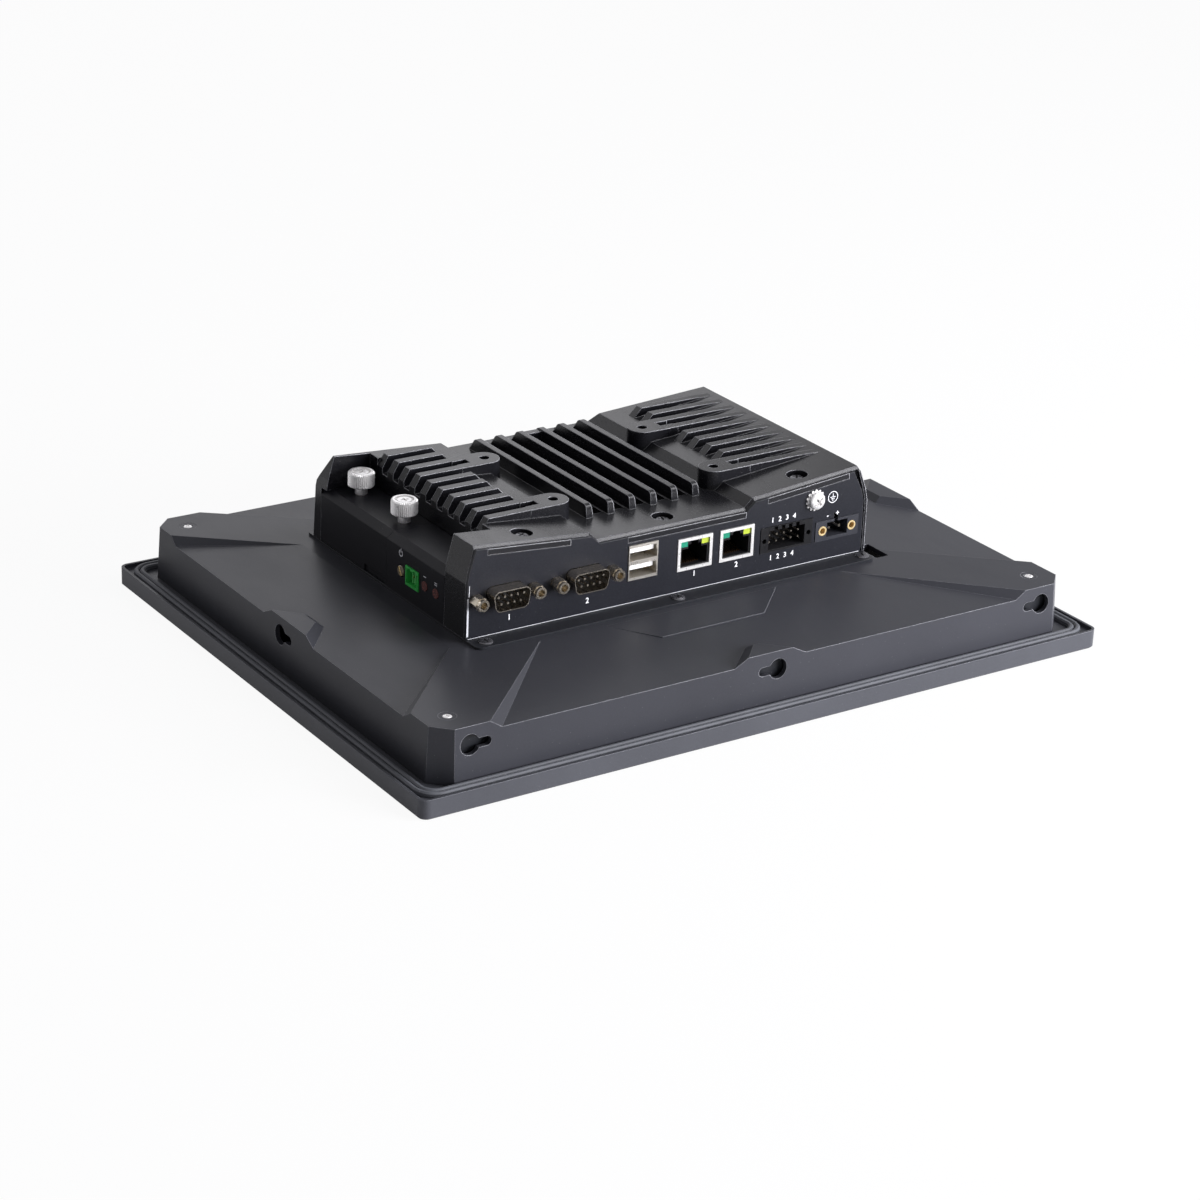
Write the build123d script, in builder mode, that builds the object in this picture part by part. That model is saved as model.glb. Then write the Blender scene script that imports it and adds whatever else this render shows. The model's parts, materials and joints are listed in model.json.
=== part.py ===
import os
from math import radians, tan

from build123d import *

# Panel computer lying on its screen: the display module is below, the computer
# module with its finned casting is on top. All lengths in millimetres, +Z up.
# The origin is the middle of the front face, which rests on the table.
os.makedirs("parts", exist_ok=True)

# General fits
gap_loose = 0.3          # between pieces that are dropped in place
gap_snug = 0.15          # around connectors in their cut-outs
through = 200.0          # longer than anything that is cut through

# Display module
panel_w, panel_d = 310.6, 241.4
bezel_t = 7.7
bezel_corner_r = 3.5
rim_w = 1.1              # narrow wall outside the gasket groove
recess_z = 6.0           # floor that carries the gasket and the rear cover
glass_border_x, glass_border_y, glass_t = 21.3, 17.7, 2.0
glass_w, glass_d = panel_w - 2 * glass_border_x, panel_d - 2 * glass_border_y
glass_z = 0.4
view_inset_x, view_inset_y = 9.0, 8.5      # from the glass to the open view
view_w, view_d = glass_w - 2 * view_inset_x, glass_d - 2 * view_inset_y
ledge_z = 4.0            # back of the ledge, the display rests here
lcd_inset_x, lcd_inset_y, lcd_t = 3.75, 1.0, 8.4
lcd_w, lcd_d = glass_w - 2 * lcd_inset_x, glass_d - 2 * lcd_inset_y

gasket_out = 2.3         # from the bezel edge to the gasket
gasket_w = 4.8
gasket_base_t = 0.8
gasket_top = 8.0
gasket_corner_r = 9.0

# Rear cover
cover_top = 27.7
cover_border_x, cover_border_y = 10.0, 7.6     # from the bezel edge to the cover
cover_foot_x = panel_w / 2 - cover_border_x
cover_foot_y = panel_d / 2 - cover_border_y
cover_draft = 3.0
cover_cut = 7.4          # flat across each upright corner
cover_wall = 2.0
facet_drop = 3.1         # how far the side facets fall at the walls
facet_side_taper = 48.0
pad_half_w, side_pad_half_w = 10.3, 13.5
pad_depth = 9.0
pad_taper = 54.0
facet_end_x, facet_end_y = 22.3, 20.3    # from the cover's side to a facet's outer end
cover_screw_x, cover_screw_y = cover_foot_x - 11.4, cover_foot_y - 12.2
cover_screw_sink = 2.4
column_r = 3.3
keyhole_z = 20.6
keyhole_r, keyhole_slot_w, keyhole_reach = 4.0, 3.6, 7.0
keyhole_x = (14.0 - cover_foot_x, 2.6, cover_foot_x - 14.4)
keyhole_y = 3.2
keyhole_cut = 6.6

# Computer module
box_x = -3.3             # its middle plane
tray_t = 1.0
tray_top = cover_top + tray_t
tray_x0, tray_x1 = -95.8, 89.6
tray_y0, tray_y1 = -59.2, 72.4
flange_inset = 5.9
flange_screw_y = (-54.9, 69.4)
plate_front, plate_t = -50.6, 1.5
plate_back = plate_front + plate_t
sink_back = 66.3

# Casting
left_x, right_x = -95.8, 90.3
deck_edge, deck_edge_z = 88.9, 65.0     # half width and height at the outer edges
deck_in, deck_in_z = 38.05, 60.6        # inner edge of a sloping wing
floor_in, floor_z = 34.25, 57.2         # middle channel
roof_z = 51.0                           # underside of the roof
sink_wall = 1.5
rib_top = 65.1
rib_w, rib_foot_w = 3.5, 4.9
rib_pitch = 50.0 / 6
boss_dx, boss_dy, boss_y = 37.5, 25.0, 2.8
boss_r = 6.1
boss_bore_r, boss_bore_depth = 2.05, 9.0
fin_top = 62.4
fin_pitch, fin_top_w, fin_foot_w = 9.92, 2.4, 3.6
fin_count = 6
deck_screw_x, deck_screw_y = 64.0, -40.5
deck_screw_mid = box_x + 1.0

# Side bay with the storage cover
bay_x = -76.0
bay_y0, bay_y1 = -34.4, 60.4
ledge_top = 51.0
ledge_y1 = 56.3
side_t = 1.3
seam_y = 8.4

# Docking connector between the two modules: window size and middle
dock_x, dock_y, dock_w, dock_d = 30.0, 20.0, 62.0, 10.0

# Main board
board_t = 1.6
board_z = 36.8           # top face
standoff_r = 2.75


# Connector positions on the front plate; heights are those of the middle of each
com_x, com_z = (-79.5, -44.3), 44.1
com_pitch = 24.99
shell_w, shell_h, shell_out = 16.9, 8.4, 5.8
flange_w, flange_h, flange_t = 30.6, 12.4, 0.8
usb_x, usb_w, usb_z0, usb_h = -17.6, 13.4, 38.3, 14.3
lan_x, lan_w, lan_z0, lan_h = (6.6, 26.4), 16.2, 37.5, 13.3
dio_x, dio_w, dio_z0, dio_h = 50.5, 25.2, 37.2, 10.6
dio_pitch, dio_count = 3.5, 5
dc_x, dc_w, dc_z0, dc_h = 75.4, 21.2, 37.1, 8.4
dc_pitch = 5.08
ground_x, ground_z = 63.6, 55.3


# Height of the wing surface at a distance from the middle plane
def deck_z(dx):
    slope = (deck_edge_z - deck_in_z) / (deck_edge - deck_in)
    return deck_in_z + (abs(dx) - deck_in) * slope


# Upper outline of the casting from left to right, lowered by drop
def deck_line(drop):
    return [
        (box_x - deck_edge, deck_edge_z - drop),
        (box_x - deck_in, deck_in_z - drop),
        (box_x - floor_in, floor_z - drop),
        (box_x + floor_in, floor_z - drop),
        (box_x + deck_in, deck_in_z - drop),
        (box_x + deck_edge, deck_edge_z - drop),
    ]

# Upper corners of the three lips over the connector plate
lip_t, lip_gap = 2.4, 0.1
lips = [
    [(box_x + x, deck_z(x) - 1.0) for x in (-84.0, -47.4)],
    [(box_x + x, floor_z - 1.0) for x in (-21.5, floor_in - 0.5)],
    [(box_x + x, deck_z(x) - 1.0) for x in (44.0, 83.5)],
]



# Wedge that turns one side of the rear cover into a sloping facet with a flat pad.
# It is drawn for the front side; v is the distance from the middle outwards.
def facet_cutter(top, wall_v, inner_v, outer_u, inner_u, pad_u, half_w):
    reach = 12.0
    grow = reach * (outer_u[1] - inner_u[1]) / (wall_v - inner_v)
    slope = facet_drop / (wall_v - inner_v)
    with BuildPart() as cutter:
        with BuildSketch(Plane.XY.offset(top)):
            Polygon(
                (inner_u[0], -inner_v), (inner_u[1], -inner_v),
                (outer_u[1] + grow, -wall_v - reach), (outer_u[0] - grow, -wall_v - reach),
                align=None,
            )
        extrude(amount=-facet_drop - 1.2, taper=facet_side_taper)
        with BuildSketch(Plane.YZ.offset(-through)):
            Polygon(
                (-inner_v, top), (-wall_v - reach, top),
                (-wall_v - reach, top - slope * (wall_v + reach - inner_v)),
                align=None,
            )
        extrude(amount=2 * through, mode=Mode.INTERSECT)
        pad_out = half_w + reach
        pad_in = half_w - pad_depth
        with BuildSketch(Plane.XY.offset(top)):
            Polygon(
                (pad_u - pad_in, -wall_v + pad_depth), (pad_u + pad_in, -wall_v + pad_depth),
                (pad_u + pad_out, -wall_v - reach), (pad_u - pad_out, -wall_v - reach),
                align=None,
            )
        extrude(amount=-facet_drop - 1.2, taper=-pad_taper, mode=Mode.SUBTRACT)
    return cutter.part


# Block of the rear cover moved inwards by inset, with its top at the given height
def cover_form(inset, top):
    half_x = cover_foot_x - inset
    half_y = cover_foot_y - inset
    top_y = half_y - (top - recess_z) * tan(radians(cover_draft))
    top_x = half_x - (top - recess_z) * tan(radians(cover_draft))
    end_x, end_y = cover_foot_x - facet_end_x, cover_foot_y - facet_end_y
    wide, deep = (-end_x, end_x), (-end_y, end_y)
    front = facet_cutter(top, top_y, 2.3 - tray_y0, wide, (-70.0, 70.0), -1.0, pad_half_w)
    back = facet_cutter(top, top_y, 2.6 + tray_y1, wide, (-74.0, 74.0), 1.0, pad_half_w)
    left = facet_cutter(
        top, top_x, 7.2 - tray_x0, deep, (tray_y0 - 2.8, 51.0), 2.6, side_pad_half_w
    )
    right = facet_cutter(
        top, top_x, 8.4 + tray_x1, deep, (-51.0, 2.8 - tray_y0), 0.5, side_pad_half_w
    )
    with BuildPart() as form:
        with BuildSketch(Plane.XY.offset(recess_z)) as foot:
            Rectangle(2 * half_x, 2 * half_y)
            chamfer(foot.vertices(), length=cover_cut - 0.586 * inset)
        extrude(amount=top - recess_z, taper=cover_draft)
        add(front, mode=Mode.SUBTRACT)
        add(back.rotate(Axis.Z, 180), mode=Mode.SUBTRACT)
        add(left.rotate(Axis.Z, -90), mode=Mode.SUBTRACT)
        add(right.rotate(Axis.Z, 90), mode=Mode.SUBTRACT)
    return form.part


# Pan head screw pointing down, with a cross recess; the head stands on z = 0
def pan_screw(head_r, head_t, shank_r, shank_l):
    with BuildPart() as screw:
        with BuildSketch():
            Circle(head_r)
        extrude(amount=head_t)
        chamfer(screw.edges().group_by(Axis.Z)[-1], length=0.4 * head_t)
        with BuildSketch(Plane.XY.offset(head_t)):
            Rectangle(head_r * 1.0, head_r * 0.26)
            Rectangle(head_r * 0.26, head_r * 1.0)
        extrude(amount=-0.55 * head_t, mode=Mode.SUBTRACT)
        with BuildSketch():
            Circle(shank_r)
        extrude(amount=-shank_l)
    return screw.part


# Outline of a nine-way D connector, wide side up, centred on the local origin
def d_outline(width, height, corner_r):
    lean = height * tan(radians(10.0))
    with BuildSketch() as shape:
        Polygon(
            (-width / 2, height / 2), (width / 2, height / 2),
            (width / 2 - lean, -height / 2), (-width / 2 + lean, -height / 2),
            align=None,
        )
        fillet(shape.vertices(), radius=corner_r)
    return shape.sketch


# Front bezel: cast frame with a gasket floor, a glass rebate and a display pocket
with BuildPart() as front_bezel:
    with BuildSketch():
        RectangleRounded(panel_w, panel_d, bezel_corner_r)
    extrude(amount=bezel_t)
    chamfer(front_bezel.edges().group_by(Axis.Z)[0], length=0.6)
    with BuildSketch(Plane.XY.offset(recess_z)):
        RectangleRounded(panel_w - 2 * rim_w, panel_d - 2 * rim_w, bezel_corner_r - rim_w)
    extrude(amount=bezel_t, mode=Mode.SUBTRACT)
    with BuildSketch():
        Rectangle(glass_w + 2 * gap_loose, glass_d + 2 * gap_loose)
    extrude(amount=glass_z + glass_t, mode=Mode.SUBTRACT)
    with BuildSketch():
        Rectangle(view_w, view_d)
    extrude(amount=bezel_t, mode=Mode.SUBTRACT)
    with BuildSketch(Plane.XY.offset(ledge_z)):
        Rectangle(lcd_w + 2 * gap_loose, lcd_d + 2 * gap_loose)
    extrude(amount=bezel_t, mode=Mode.SUBTRACT)
    with BuildSketch(Plane.XY.offset(recess_z)):
        with GridLocations(2 * cover_screw_x, 2 * cover_screw_y, 2, 2):
            Circle(1.45)
    extrude(amount=-4.4, mode=Mode.SUBTRACT)

# Touch glass in the front rebate
with BuildPart() as touch_glass:
    with BuildSketch(Plane.XY.offset(glass_z)):
        Rectangle(glass_w, glass_d)
    extrude(amount=glass_t)

# Display panel with its metal frame and the folded rear edge
with BuildPart() as display_panel:
    with BuildSketch(Plane.XY.offset(ledge_z)):
        Rectangle(lcd_w, lcd_d)
    extrude(amount=lcd_t)
    with BuildSketch(Plane.XY.offset(ledge_z + lcd_t)):
        Rectangle(lcd_w - 16, lcd_d - 16)
    extrude(amount=-1.2, mode=Mode.SUBTRACT)

# Two-lobed sealing gasket around the rear cover
gasket_half_x = panel_w / 2 - gasket_out
gasket_half_y = panel_d / 2 - gasket_out
lobe_w = gasket_w / 2
with BuildPart() as panel_gasket:
    with BuildSketch(Plane.XY.offset(recess_z)):
        RectangleRounded(2 * gasket_half_x, 2 * gasket_half_y, gasket_corner_r)
        RectangleRounded(
            2 * (gasket_half_x - gasket_w), 2 * (gasket_half_y - gasket_w),
            gasket_corner_r - gasket_w, mode=Mode.SUBTRACT,
        )
    extrude(amount=gasket_base_t)
    for lobe in (0, 1):
        out_x = gasket_half_x - lobe * lobe_w - 0.1
        out_y = gasket_half_y - lobe * lobe_w - 0.1
        out_r = gasket_corner_r - lobe * lobe_w - 0.1
        in_by = lobe_w - 0.35
        with BuildSketch(Plane.XY.offset(recess_z)) as lobe_ring:
            RectangleRounded(2 * out_x, 2 * out_y, out_r)
            RectangleRounded(
                2 * (out_x - in_by), 2 * (out_y - in_by), out_r - in_by, mode=Mode.SUBTRACT
            )
        extrude(amount=gasket_top - recess_z)
    chamfer(panel_gasket.edges().group_by(Axis.Z)[-1], length=0.6)

# Rear cover: thin shell with facets, pads, keyholes and screw columns
cover_outside = cover_form(0.0, cover_top)
cover_inside = cover_form(cover_wall, cover_top - cover_wall)
with BuildPart() as rear_cover:
    add(cover_outside)
    add(cover_inside, mode=Mode.SUBTRACT)
    with BuildSketch(Plane.XY.offset(recess_z)):
        with GridLocations(2 * cover_screw_x, 2 * cover_screw_y, 2, 2):
            Circle(column_r)
    extrude(amount=cover_top - recess_z - 1)
    with BuildSketch(Plane.XY.offset(cover_top - 6)):
        with GridLocations(2 * cover_screw_x, 2 * cover_screw_y, 2, 2):
            Circle(column_r + 1.5)
    extrude(amount=5)
    # Raised landing in front of the connector face
    with BuildSketch(Plane.XY.offset(cover_top - 0.8)) as landing:
        Polygon(
            (-35.5, tray_y0 - 0.4), (30.5, tray_y0 - 0.4), (22.0, -74.5), (-29.0, -74.5),
            align=None,
        )
        fillet(landing.vertices(), radius=1.5)
    extrude(amount=1.7, taper=20)
    with BuildSketch(Plane.XY.offset(cover_top)):
        with GridLocations(2 * cover_screw_x, 2 * cover_screw_y, 2, 2):
            Circle(3.4)
    extrude(amount=-cover_screw_sink, mode=Mode.SUBTRACT)
    with BuildSketch(Plane.XY.offset(cover_top)):
        with GridLocations(2 * cover_screw_x, 2 * cover_screw_y, 2, 2):
            Circle(1.7)
    extrude(amount=-through, mode=Mode.SUBTRACT)
    # Bosses for the screws of the computer module
    boss_x = (tray_x0 + flange_inset, box_x, tray_x1 - flange_inset + 2.4)
    boss_spots = [(x, y) for x in boss_x for y in flange_screw_y]
    with BuildSketch(Plane.XY.offset(cover_top - 7.5)):
        with Locations(*boss_spots):
            Circle(3.3)
    extrude(amount=7.0)
    with BuildSketch(Plane.XY.offset(cover_top)):
        with Locations(*boss_spots):
            Circle(1.6)
    extrude(amount=-7.0, mode=Mode.SUBTRACT)
    # Window for the docking connector and the slot beside the box
    with BuildSketch(Plane.XY.offset(cover_top + 1)):
        with Locations((dock_x, dock_y)):
            Rectangle(dock_w + 4.0, dock_d + 4.0)
        with Locations((tray_x1 + 4.8, -50.8)):
            Rectangle(6.2, 13.6)
    extrude(amount=-5, mode=Mode.SUBTRACT)
    # Keyholes for mounting clips in the upright walls
    for y_start in (-cover_foot_y - 2, cover_foot_y + 2 - keyhole_cut):
        with BuildSketch(Plane.XZ.offset(-y_start)):
            for x_hole, side in zip(keyhole_x, (1, -1, -1)):
                with Locations((x_hole, keyhole_z)):
                    Circle(keyhole_r)
                with Locations((x_hole + side * keyhole_reach / 2, keyhole_z)):
                    SlotCenterToCenter(keyhole_reach, keyhole_slot_w)
        extrude(amount=-keyhole_cut, mode=Mode.SUBTRACT)
    for x_start in (-cover_foot_x - 2, cover_foot_x + 2 - keyhole_cut):
        with BuildSketch(Plane.YZ.offset(x_start)):
            with Locations((keyhole_y, keyhole_z)):
                Circle(keyhole_r)
            with Locations((keyhole_y - keyhole_reach / 2, keyhole_z)):
                SlotCenterToCenter(keyhole_reach, keyhole_slot_w)
        extrude(amount=keyhole_cut, mode=Mode.SUBTRACT)

# Sheet frame over the back of the display, with upturned tabs behind the keyholes
frame_z = ledge_z + lcd_t
frame_t = 1.0
tab_w = 17.0
tab_face = cover_foot_y - 4.1
tab_x = (17.3 - cover_foot_x, -1.0, cover_foot_x - 17.3)
arm_x = lcd_w / 2 - 8.25
frame_space = cover_form(cover_wall + gap_loose, cover_top - cover_wall - gap_loose)
with BuildPart() as display_frame:
    with BuildSketch(Plane.XY.offset(frame_z)):
        Rectangle(lcd_w - 8, lcd_d - 2)
        with Locations((-50.0, 25.0)):
            Rectangle(90.0, 110.0, mode=Mode.SUBTRACT)
        for y_side in (-1, 1):
            with Locations((tab_x[1], y_side * (tab_face + lcd_d / 2) / 2)):
                Rectangle(tab_w + 4, tab_face - lcd_d / 2 + 4)
            for x_side in (-1, 1):
                with Locations((x_side * arm_x, y_side * (tab_face + lcd_d / 2 - 2) / 2)):
                    Rectangle(8.0, tab_face - lcd_d / 2 + 2)
    extrude(amount=frame_t)
    with BuildSketch(Plane.XY.offset(frame_z)):
        for y_side in (-1, 1):
            with Locations((tab_x[1], y_side * (tab_face - frame_t / 2))):
                Rectangle(tab_w + 4, frame_t)
            for x_side in (-1, 1):
                with Locations((x_side * tab_x[2], y_side * (tab_face - frame_t / 2))):
                    Rectangle(tab_w + 2, frame_t)
    extrude(amount=cover_top - cover_wall - frame_z)
    add(frame_space, mode=Mode.INTERSECT)

# Four pan head screws in the corners of the rear cover
cover_screw = pan_screw(2.8, 1.9, 1.4, cover_top - cover_screw_sink - 2.4)
with BuildPart() as rear_cover_screws:
    for x_side in (-1, 1):
        for y_side in (-1, 1):
            with Locations(
                (x_side * cover_screw_x, y_side * cover_screw_y, cover_top - cover_screw_sink)
            ):
                add(cover_screw)

# Spots of the screws that join the tray to the casting
foot_spots = [(83.0, -22.0), (83.0, 57.5), (-20.0, 59.4), (-66.0, 59.4)]

# Base tray of the computer module: flat sheet with screw flanges front and back
with BuildPart() as base_tray:
    with BuildSketch(Plane.XY.offset(cover_top)) as tray_sketch:
        Polygon(
            (tray_x0, tray_y0), (tray_x1, tray_y0), (tray_x1, tray_y1), (tray_x0, tray_y1),
            align=None,
        )
        fillet(tray_sketch.vertices(), radius=3.0)
        with Locations(*boss_spots):
            Circle(1.7, mode=Mode.SUBTRACT)
        with Locations((dock_x, dock_y)):
            Rectangle(dock_w + 2.0, dock_d + 2.0, mode=Mode.SUBTRACT)
    extrude(amount=tray_t)
    with BuildSketch(Plane.XY.offset(cover_top)):
        with Locations(*foot_spots):
            Circle(2.8)
    extrude(amount=tray_t, taper=40.0, mode=Mode.SUBTRACT)

flange_screw = pan_screw(2.7, 1.7, 1.4, 6.6)
with BuildPart() as flange_screws:
    for x_spot, y_spot in boss_spots:
        with Locations((x_spot, y_spot, tray_top)):
            add(flange_screw)


# Cross-section of the middle fins or wing ribs, standing on a base height
def rib_section(centre, foot_w, top_w, foot_z, top_z):
    return [
        (centre - foot_w / 2, foot_z), (centre + foot_w / 2, foot_z),
        (centre + top_w / 2, top_z), (centre - top_w / 2, top_z),
    ]


rib_y = [boss_y + boss_dy + rib_pitch * (2.5 - n) for n in range(10)]
fin_x = [box_x + fin_pitch * (n - (fin_count - 1) / 2) for n in range(fin_count)]
rib_inner = 50.2         # inner ends of the wing ribs, from the middle plane
groove_floor_in, groove_floor_out = 60.0, 58.2

# Ten ribs of one wing, cut to their side profile
def wing_ribs(profile):
    with BuildPart() as ribs:
        for y_rib in rib_y:
            with BuildSketch(Plane.YZ.offset(-through / 2)):
                Polygon(*rib_section(y_rib, rib_foot_w, rib_w, floor_z - 2, rib_top), align=None)
            extrude(amount=through)
        with BuildSketch(Plane.XZ.offset(through / 2)):
            Polygon(*profile, align=None)
        extrude(amount=-through, mode=Mode.INTERSECT)
    return ribs.part


left_ribs = wing_ribs([
    (bay_x, groove_floor_out - 2), (bay_x, 60.6), (bay_x + 2.8, rib_top),
    (box_x - rib_inner, rib_top), (box_x - rib_inner + 4.4, deck_in_z),
    (box_x - rib_inner + 4.4, floor_z),
])
right_ribs = wing_ribs([
    (box_x + rib_inner - 4.4, floor_z), (box_x + rib_inner - 4.4, deck_in_z),
    (box_x + rib_inner, rib_top), (box_x + 76.0, rib_top),
    (box_x + 87.0, deck_z(87.0) - 0.15), (box_x + 87.0, floor_z),
])

# Six long middle fins with a sloped back end and rounded front ends
with BuildPart() as middle_fins:
    with BuildSketch(Plane.XZ.offset(29.8)):
        for x_fin in fin_x:
            Polygon(*rib_section(x_fin, fin_foot_w, fin_top_w, floor_z - 3.2, fin_top), align=None)
    extrude(amount=-90.0)
    with BuildSketch(Plane.YZ.offset(-through / 2)) as fin_side:
        Polygon(
            (-29.6, floor_z - 3.2), (-28.0, fin_top), (53.6, fin_top), (59.6, floor_z - 3.2),
            align=None,
        )
        fillet(fin_side.vertices().group_by(Axis.Y)[-1], radius=2.2)
    extrude(amount=through, mode=Mode.INTERSECT)
    # Web that joins the back ends of the two middle fins
    with BuildSketch(Plane.XY.offset(floor_z - 2)):
        with Locations((box_x, 51.6)):
            Rectangle(fin_pitch, 3.4)
    extrude(amount=fin_top - 0.6 - floor_z + 2)

# Arms that carry the four threaded bosses, drawn on the boss centres
arm_reach = rib_inner - boss_dx + 1.2
with BuildPart() as boss_arms:
    for x_side in (-1, 1):
        for y_side in (-1, 1):
            x_boss = box_x + x_side * boss_dx
            y_boss = boss_y + y_side * boss_dy
            with BuildSketch(Plane.XY.offset(floor_z - 1)):
                with Locations((x_boss, y_boss)):
                    Circle(boss_r + 0.3)
                with Locations((x_boss + x_side * arm_reach / 2, y_boss)):
                    Rectangle(arm_reach, 2 * boss_r + 0.6)
            extrude(amount=rib_top - floor_z + 1, taper=2.0)

# Finned casting that forms the housing of the computer module
with BuildPart() as heat_sink:
    with BuildSketch(Plane.XZ.offset(-plate_back)):
        Polygon(
            (left_x, tray_top), (left_x + 0.2, 50.6), (left_x + 1.0, 55.4),
            *deck_line(0),
            (right_x - 1.3, 55.4), (right_x - 0.2, 50.6), (right_x, tray_top),
            align=None,
        )
    extrude(amount=-(sink_back - plate_back))
    with BuildSketch(Plane.YZ.offset(-through)):
        Polygon(
            (plate_back, tray_top - 1), (sink_back + 0.1, tray_top - 1), (64.9, 53.0),
            (57.0, 65.3), (plate_back, 70.0),
            align=None,
        )
    extrude(amount=2 * through, mode=Mode.INTERSECT)
    front_top = heat_sink.edges().group_by(Axis.Y)[0].filter_by(
        lambda e: e.center().Z > 56.5 and abs(e.center().X - box_x) < deck_edge - 1
    )
    chamfer(front_top, length=1.0)
    # Grooves between the left ribs, open towards the side bay
    with BuildSketch(Plane.XZ.offset(-(rib_y[0] + rib_w / 2))):
        Polygon(
            (bay_x - 1, groove_floor_out), (box_x - rib_inner + 1.5, groove_floor_in),
            (box_x - rib_inner + 4.4, deck_in_z + 0.9), (box_x - rib_inner + 4.4, 70.0),
            (bay_x - 1, 70.0),
            align=None,
        )
    extrude(amount=rib_y[0] - rib_y[9] + rib_w, mode=Mode.SUBTRACT)
    # Deep channels between the middle fins
    with BuildSketch(Plane.XY.offset(floor_z - 2.6)):
        for x_gap in [(a + b) / 2 for a, b in zip(fin_x, fin_x[1:])]:
            with Locations((x_gap, 18.0)):
                Rectangle(fin_pitch - fin_foot_w - 0.3, 88.0)
    extrude(amount=10.0, mode=Mode.SUBTRACT)
    add(left_ribs)
    add(right_ribs)
    add(middle_fins)
    add(boss_arms)
    # Blind slots between the two ribs of each arm
    slot_w = rib_pitch - rib_foot_w + 0.5
    with BuildSketch(Plane.XY.offset(60.4)):
        for y_side in (-1, 1):
            with Locations((box_x - (boss_dx + 7.6 + 15.0), boss_y + y_side * boss_dy)):
                Rectangle(30.0, slot_w)
            with Locations((box_x + (boss_dx + 7.6 + 4.0), boss_y + y_side * boss_dy)):
                Rectangle(8.0, slot_w)
    extrude(amount=10.0, mode=Mode.SUBTRACT)
    # Side bay below the ledge, and the open space above the ledge
    with BuildSketch(Plane.XY.offset(tray_top - 1)):
        with Locations((left_x - 2, (bay_y0 + bay_y1) / 2)):
            Rectangle(2 * (bay_x - left_x + 2), bay_y1 - bay_y0)
    extrude(amount=ledge_top - tray_top + 1.2, mode=Mode.SUBTRACT)
    with BuildSketch(Plane.XY.offset(ledge_top)):
        with Locations((left_x - 2, (bay_y0 + ledge_y1) / 2)):
            Rectangle(2 * (bay_x - left_x + 2), ledge_y1 - bay_y0)
    extrude(amount=20.0, mode=Mode.SUBTRACT)
    # Hollow inside, open downwards, deeper under the right wing
    with BuildSketch(Plane.XY.offset(tray_top - 1)):
        with Locations(((left_x + right_x) / 2 + 0.1, (plate_back + 63.4) / 2)):
            Rectangle(right_x - left_x - 2 * sink_wall - 0.3, 63.4 - plate_back + 0.01)
    extrude(amount=roof_z - tray_top + 1, mode=Mode.SUBTRACT)
    with BuildSketch(Plane.XY.offset(roof_z - 1)):
        with Locations((box_x + 62.0, 10.0)):
            Rectangle(44.0, 86.0)
    extrude(amount=57.0 - roof_z + 1, mode=Mode.SUBTRACT)
    # Pedestal that meets the processor, with the two mounting posts of the board
    with BuildSketch(Plane.XY.offset(roof_z + 0.5)):
        with Locations((box_x, boss_y)):
            Rectangle(44.0, 36.0)
    extrude(amount=-(roof_z + 0.5 - 40.0), taper=3.0)
    # Relief for the flange of the left port
    with BuildSketch(Plane.XY.offset(36.9)):
        with Locations((left_x + 0.75 + 1.5, plate_back + 0.8)):
            Rectangle(3.0, 1.6)
    extrude(amount=14.2, mode=Mode.SUBTRACT)
    # Screw bosses for the base tray
    with BuildSketch(Plane.XY.offset(tray_top)):
        with Locations(*foot_spots):
            Circle(3.6)
    extrude(amount=roof_z - tray_top + 0.5)
    with BuildSketch(Plane.XY.offset(tray_top)):
        with Locations(*foot_spots):
            Circle(1.45)
    extrude(amount=8.0, mode=Mode.SUBTRACT)
    # Threaded boss holes, drawn at thread size
    with BuildSketch(Plane.XY.offset(rib_top)):
        with Locations((box_x, boss_y)):
            with GridLocations(2 * boss_dx, 2 * boss_dy, 2, 2):
                Circle(boss_bore_r)
    extrude(amount=-boss_bore_depth, mode=Mode.SUBTRACT)
    # Sunk seats for the three deck screws, and pockets for the tabs below them
    deck_spots = [deck_screw_mid - deck_screw_x, deck_screw_mid, deck_screw_mid + deck_screw_x]
    for x_spot in deck_spots:
        dx = abs(x_spot - box_x)
        seat = (deck_z(dx) if dx > deck_in else floor_z) - 2.6
        with BuildSketch(Plane.XY.offset(seat)):
            with Locations((x_spot, deck_screw_y)):
                Circle(4.3)
        extrude(amount=12.0, mode=Mode.SUBTRACT)
        with BuildSketch(Plane.XY.offset(roof_z - 1)):
            with Locations((x_spot, deck_screw_y)):
                Circle(1.7)
        extrude(amount=12.0, mode=Mode.SUBTRACT)
        with BuildSketch(Plane.XY.offset(roof_z - 1)):
            with Locations((x_spot, (plate_back - 34.0) / 2)):
                Rectangle(14.4, -34.0 - plate_back + 0.6)
        extrude(amount=2.6, mode=Mode.SUBTRACT)
    # Room above the twin port, and the threaded hole of the earth screw
    with BuildSketch(Plane.XY.offset(roof_z - 1)):
        with Locations((usb_x, plate_back + 8.2)):
            Rectangle(usb_w + 0.6, 16.4)
    extrude(amount=usb_z0 + usb_h + gap_loose - roof_z + 1, mode=Mode.SUBTRACT)
    with BuildSketch(Plane.XZ.offset(-plate_back)):
        with Locations((ground_x, ground_z)):
            Circle(2.05)
    extrude(amount=-5.5, mode=Mode.SUBTRACT)
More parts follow.
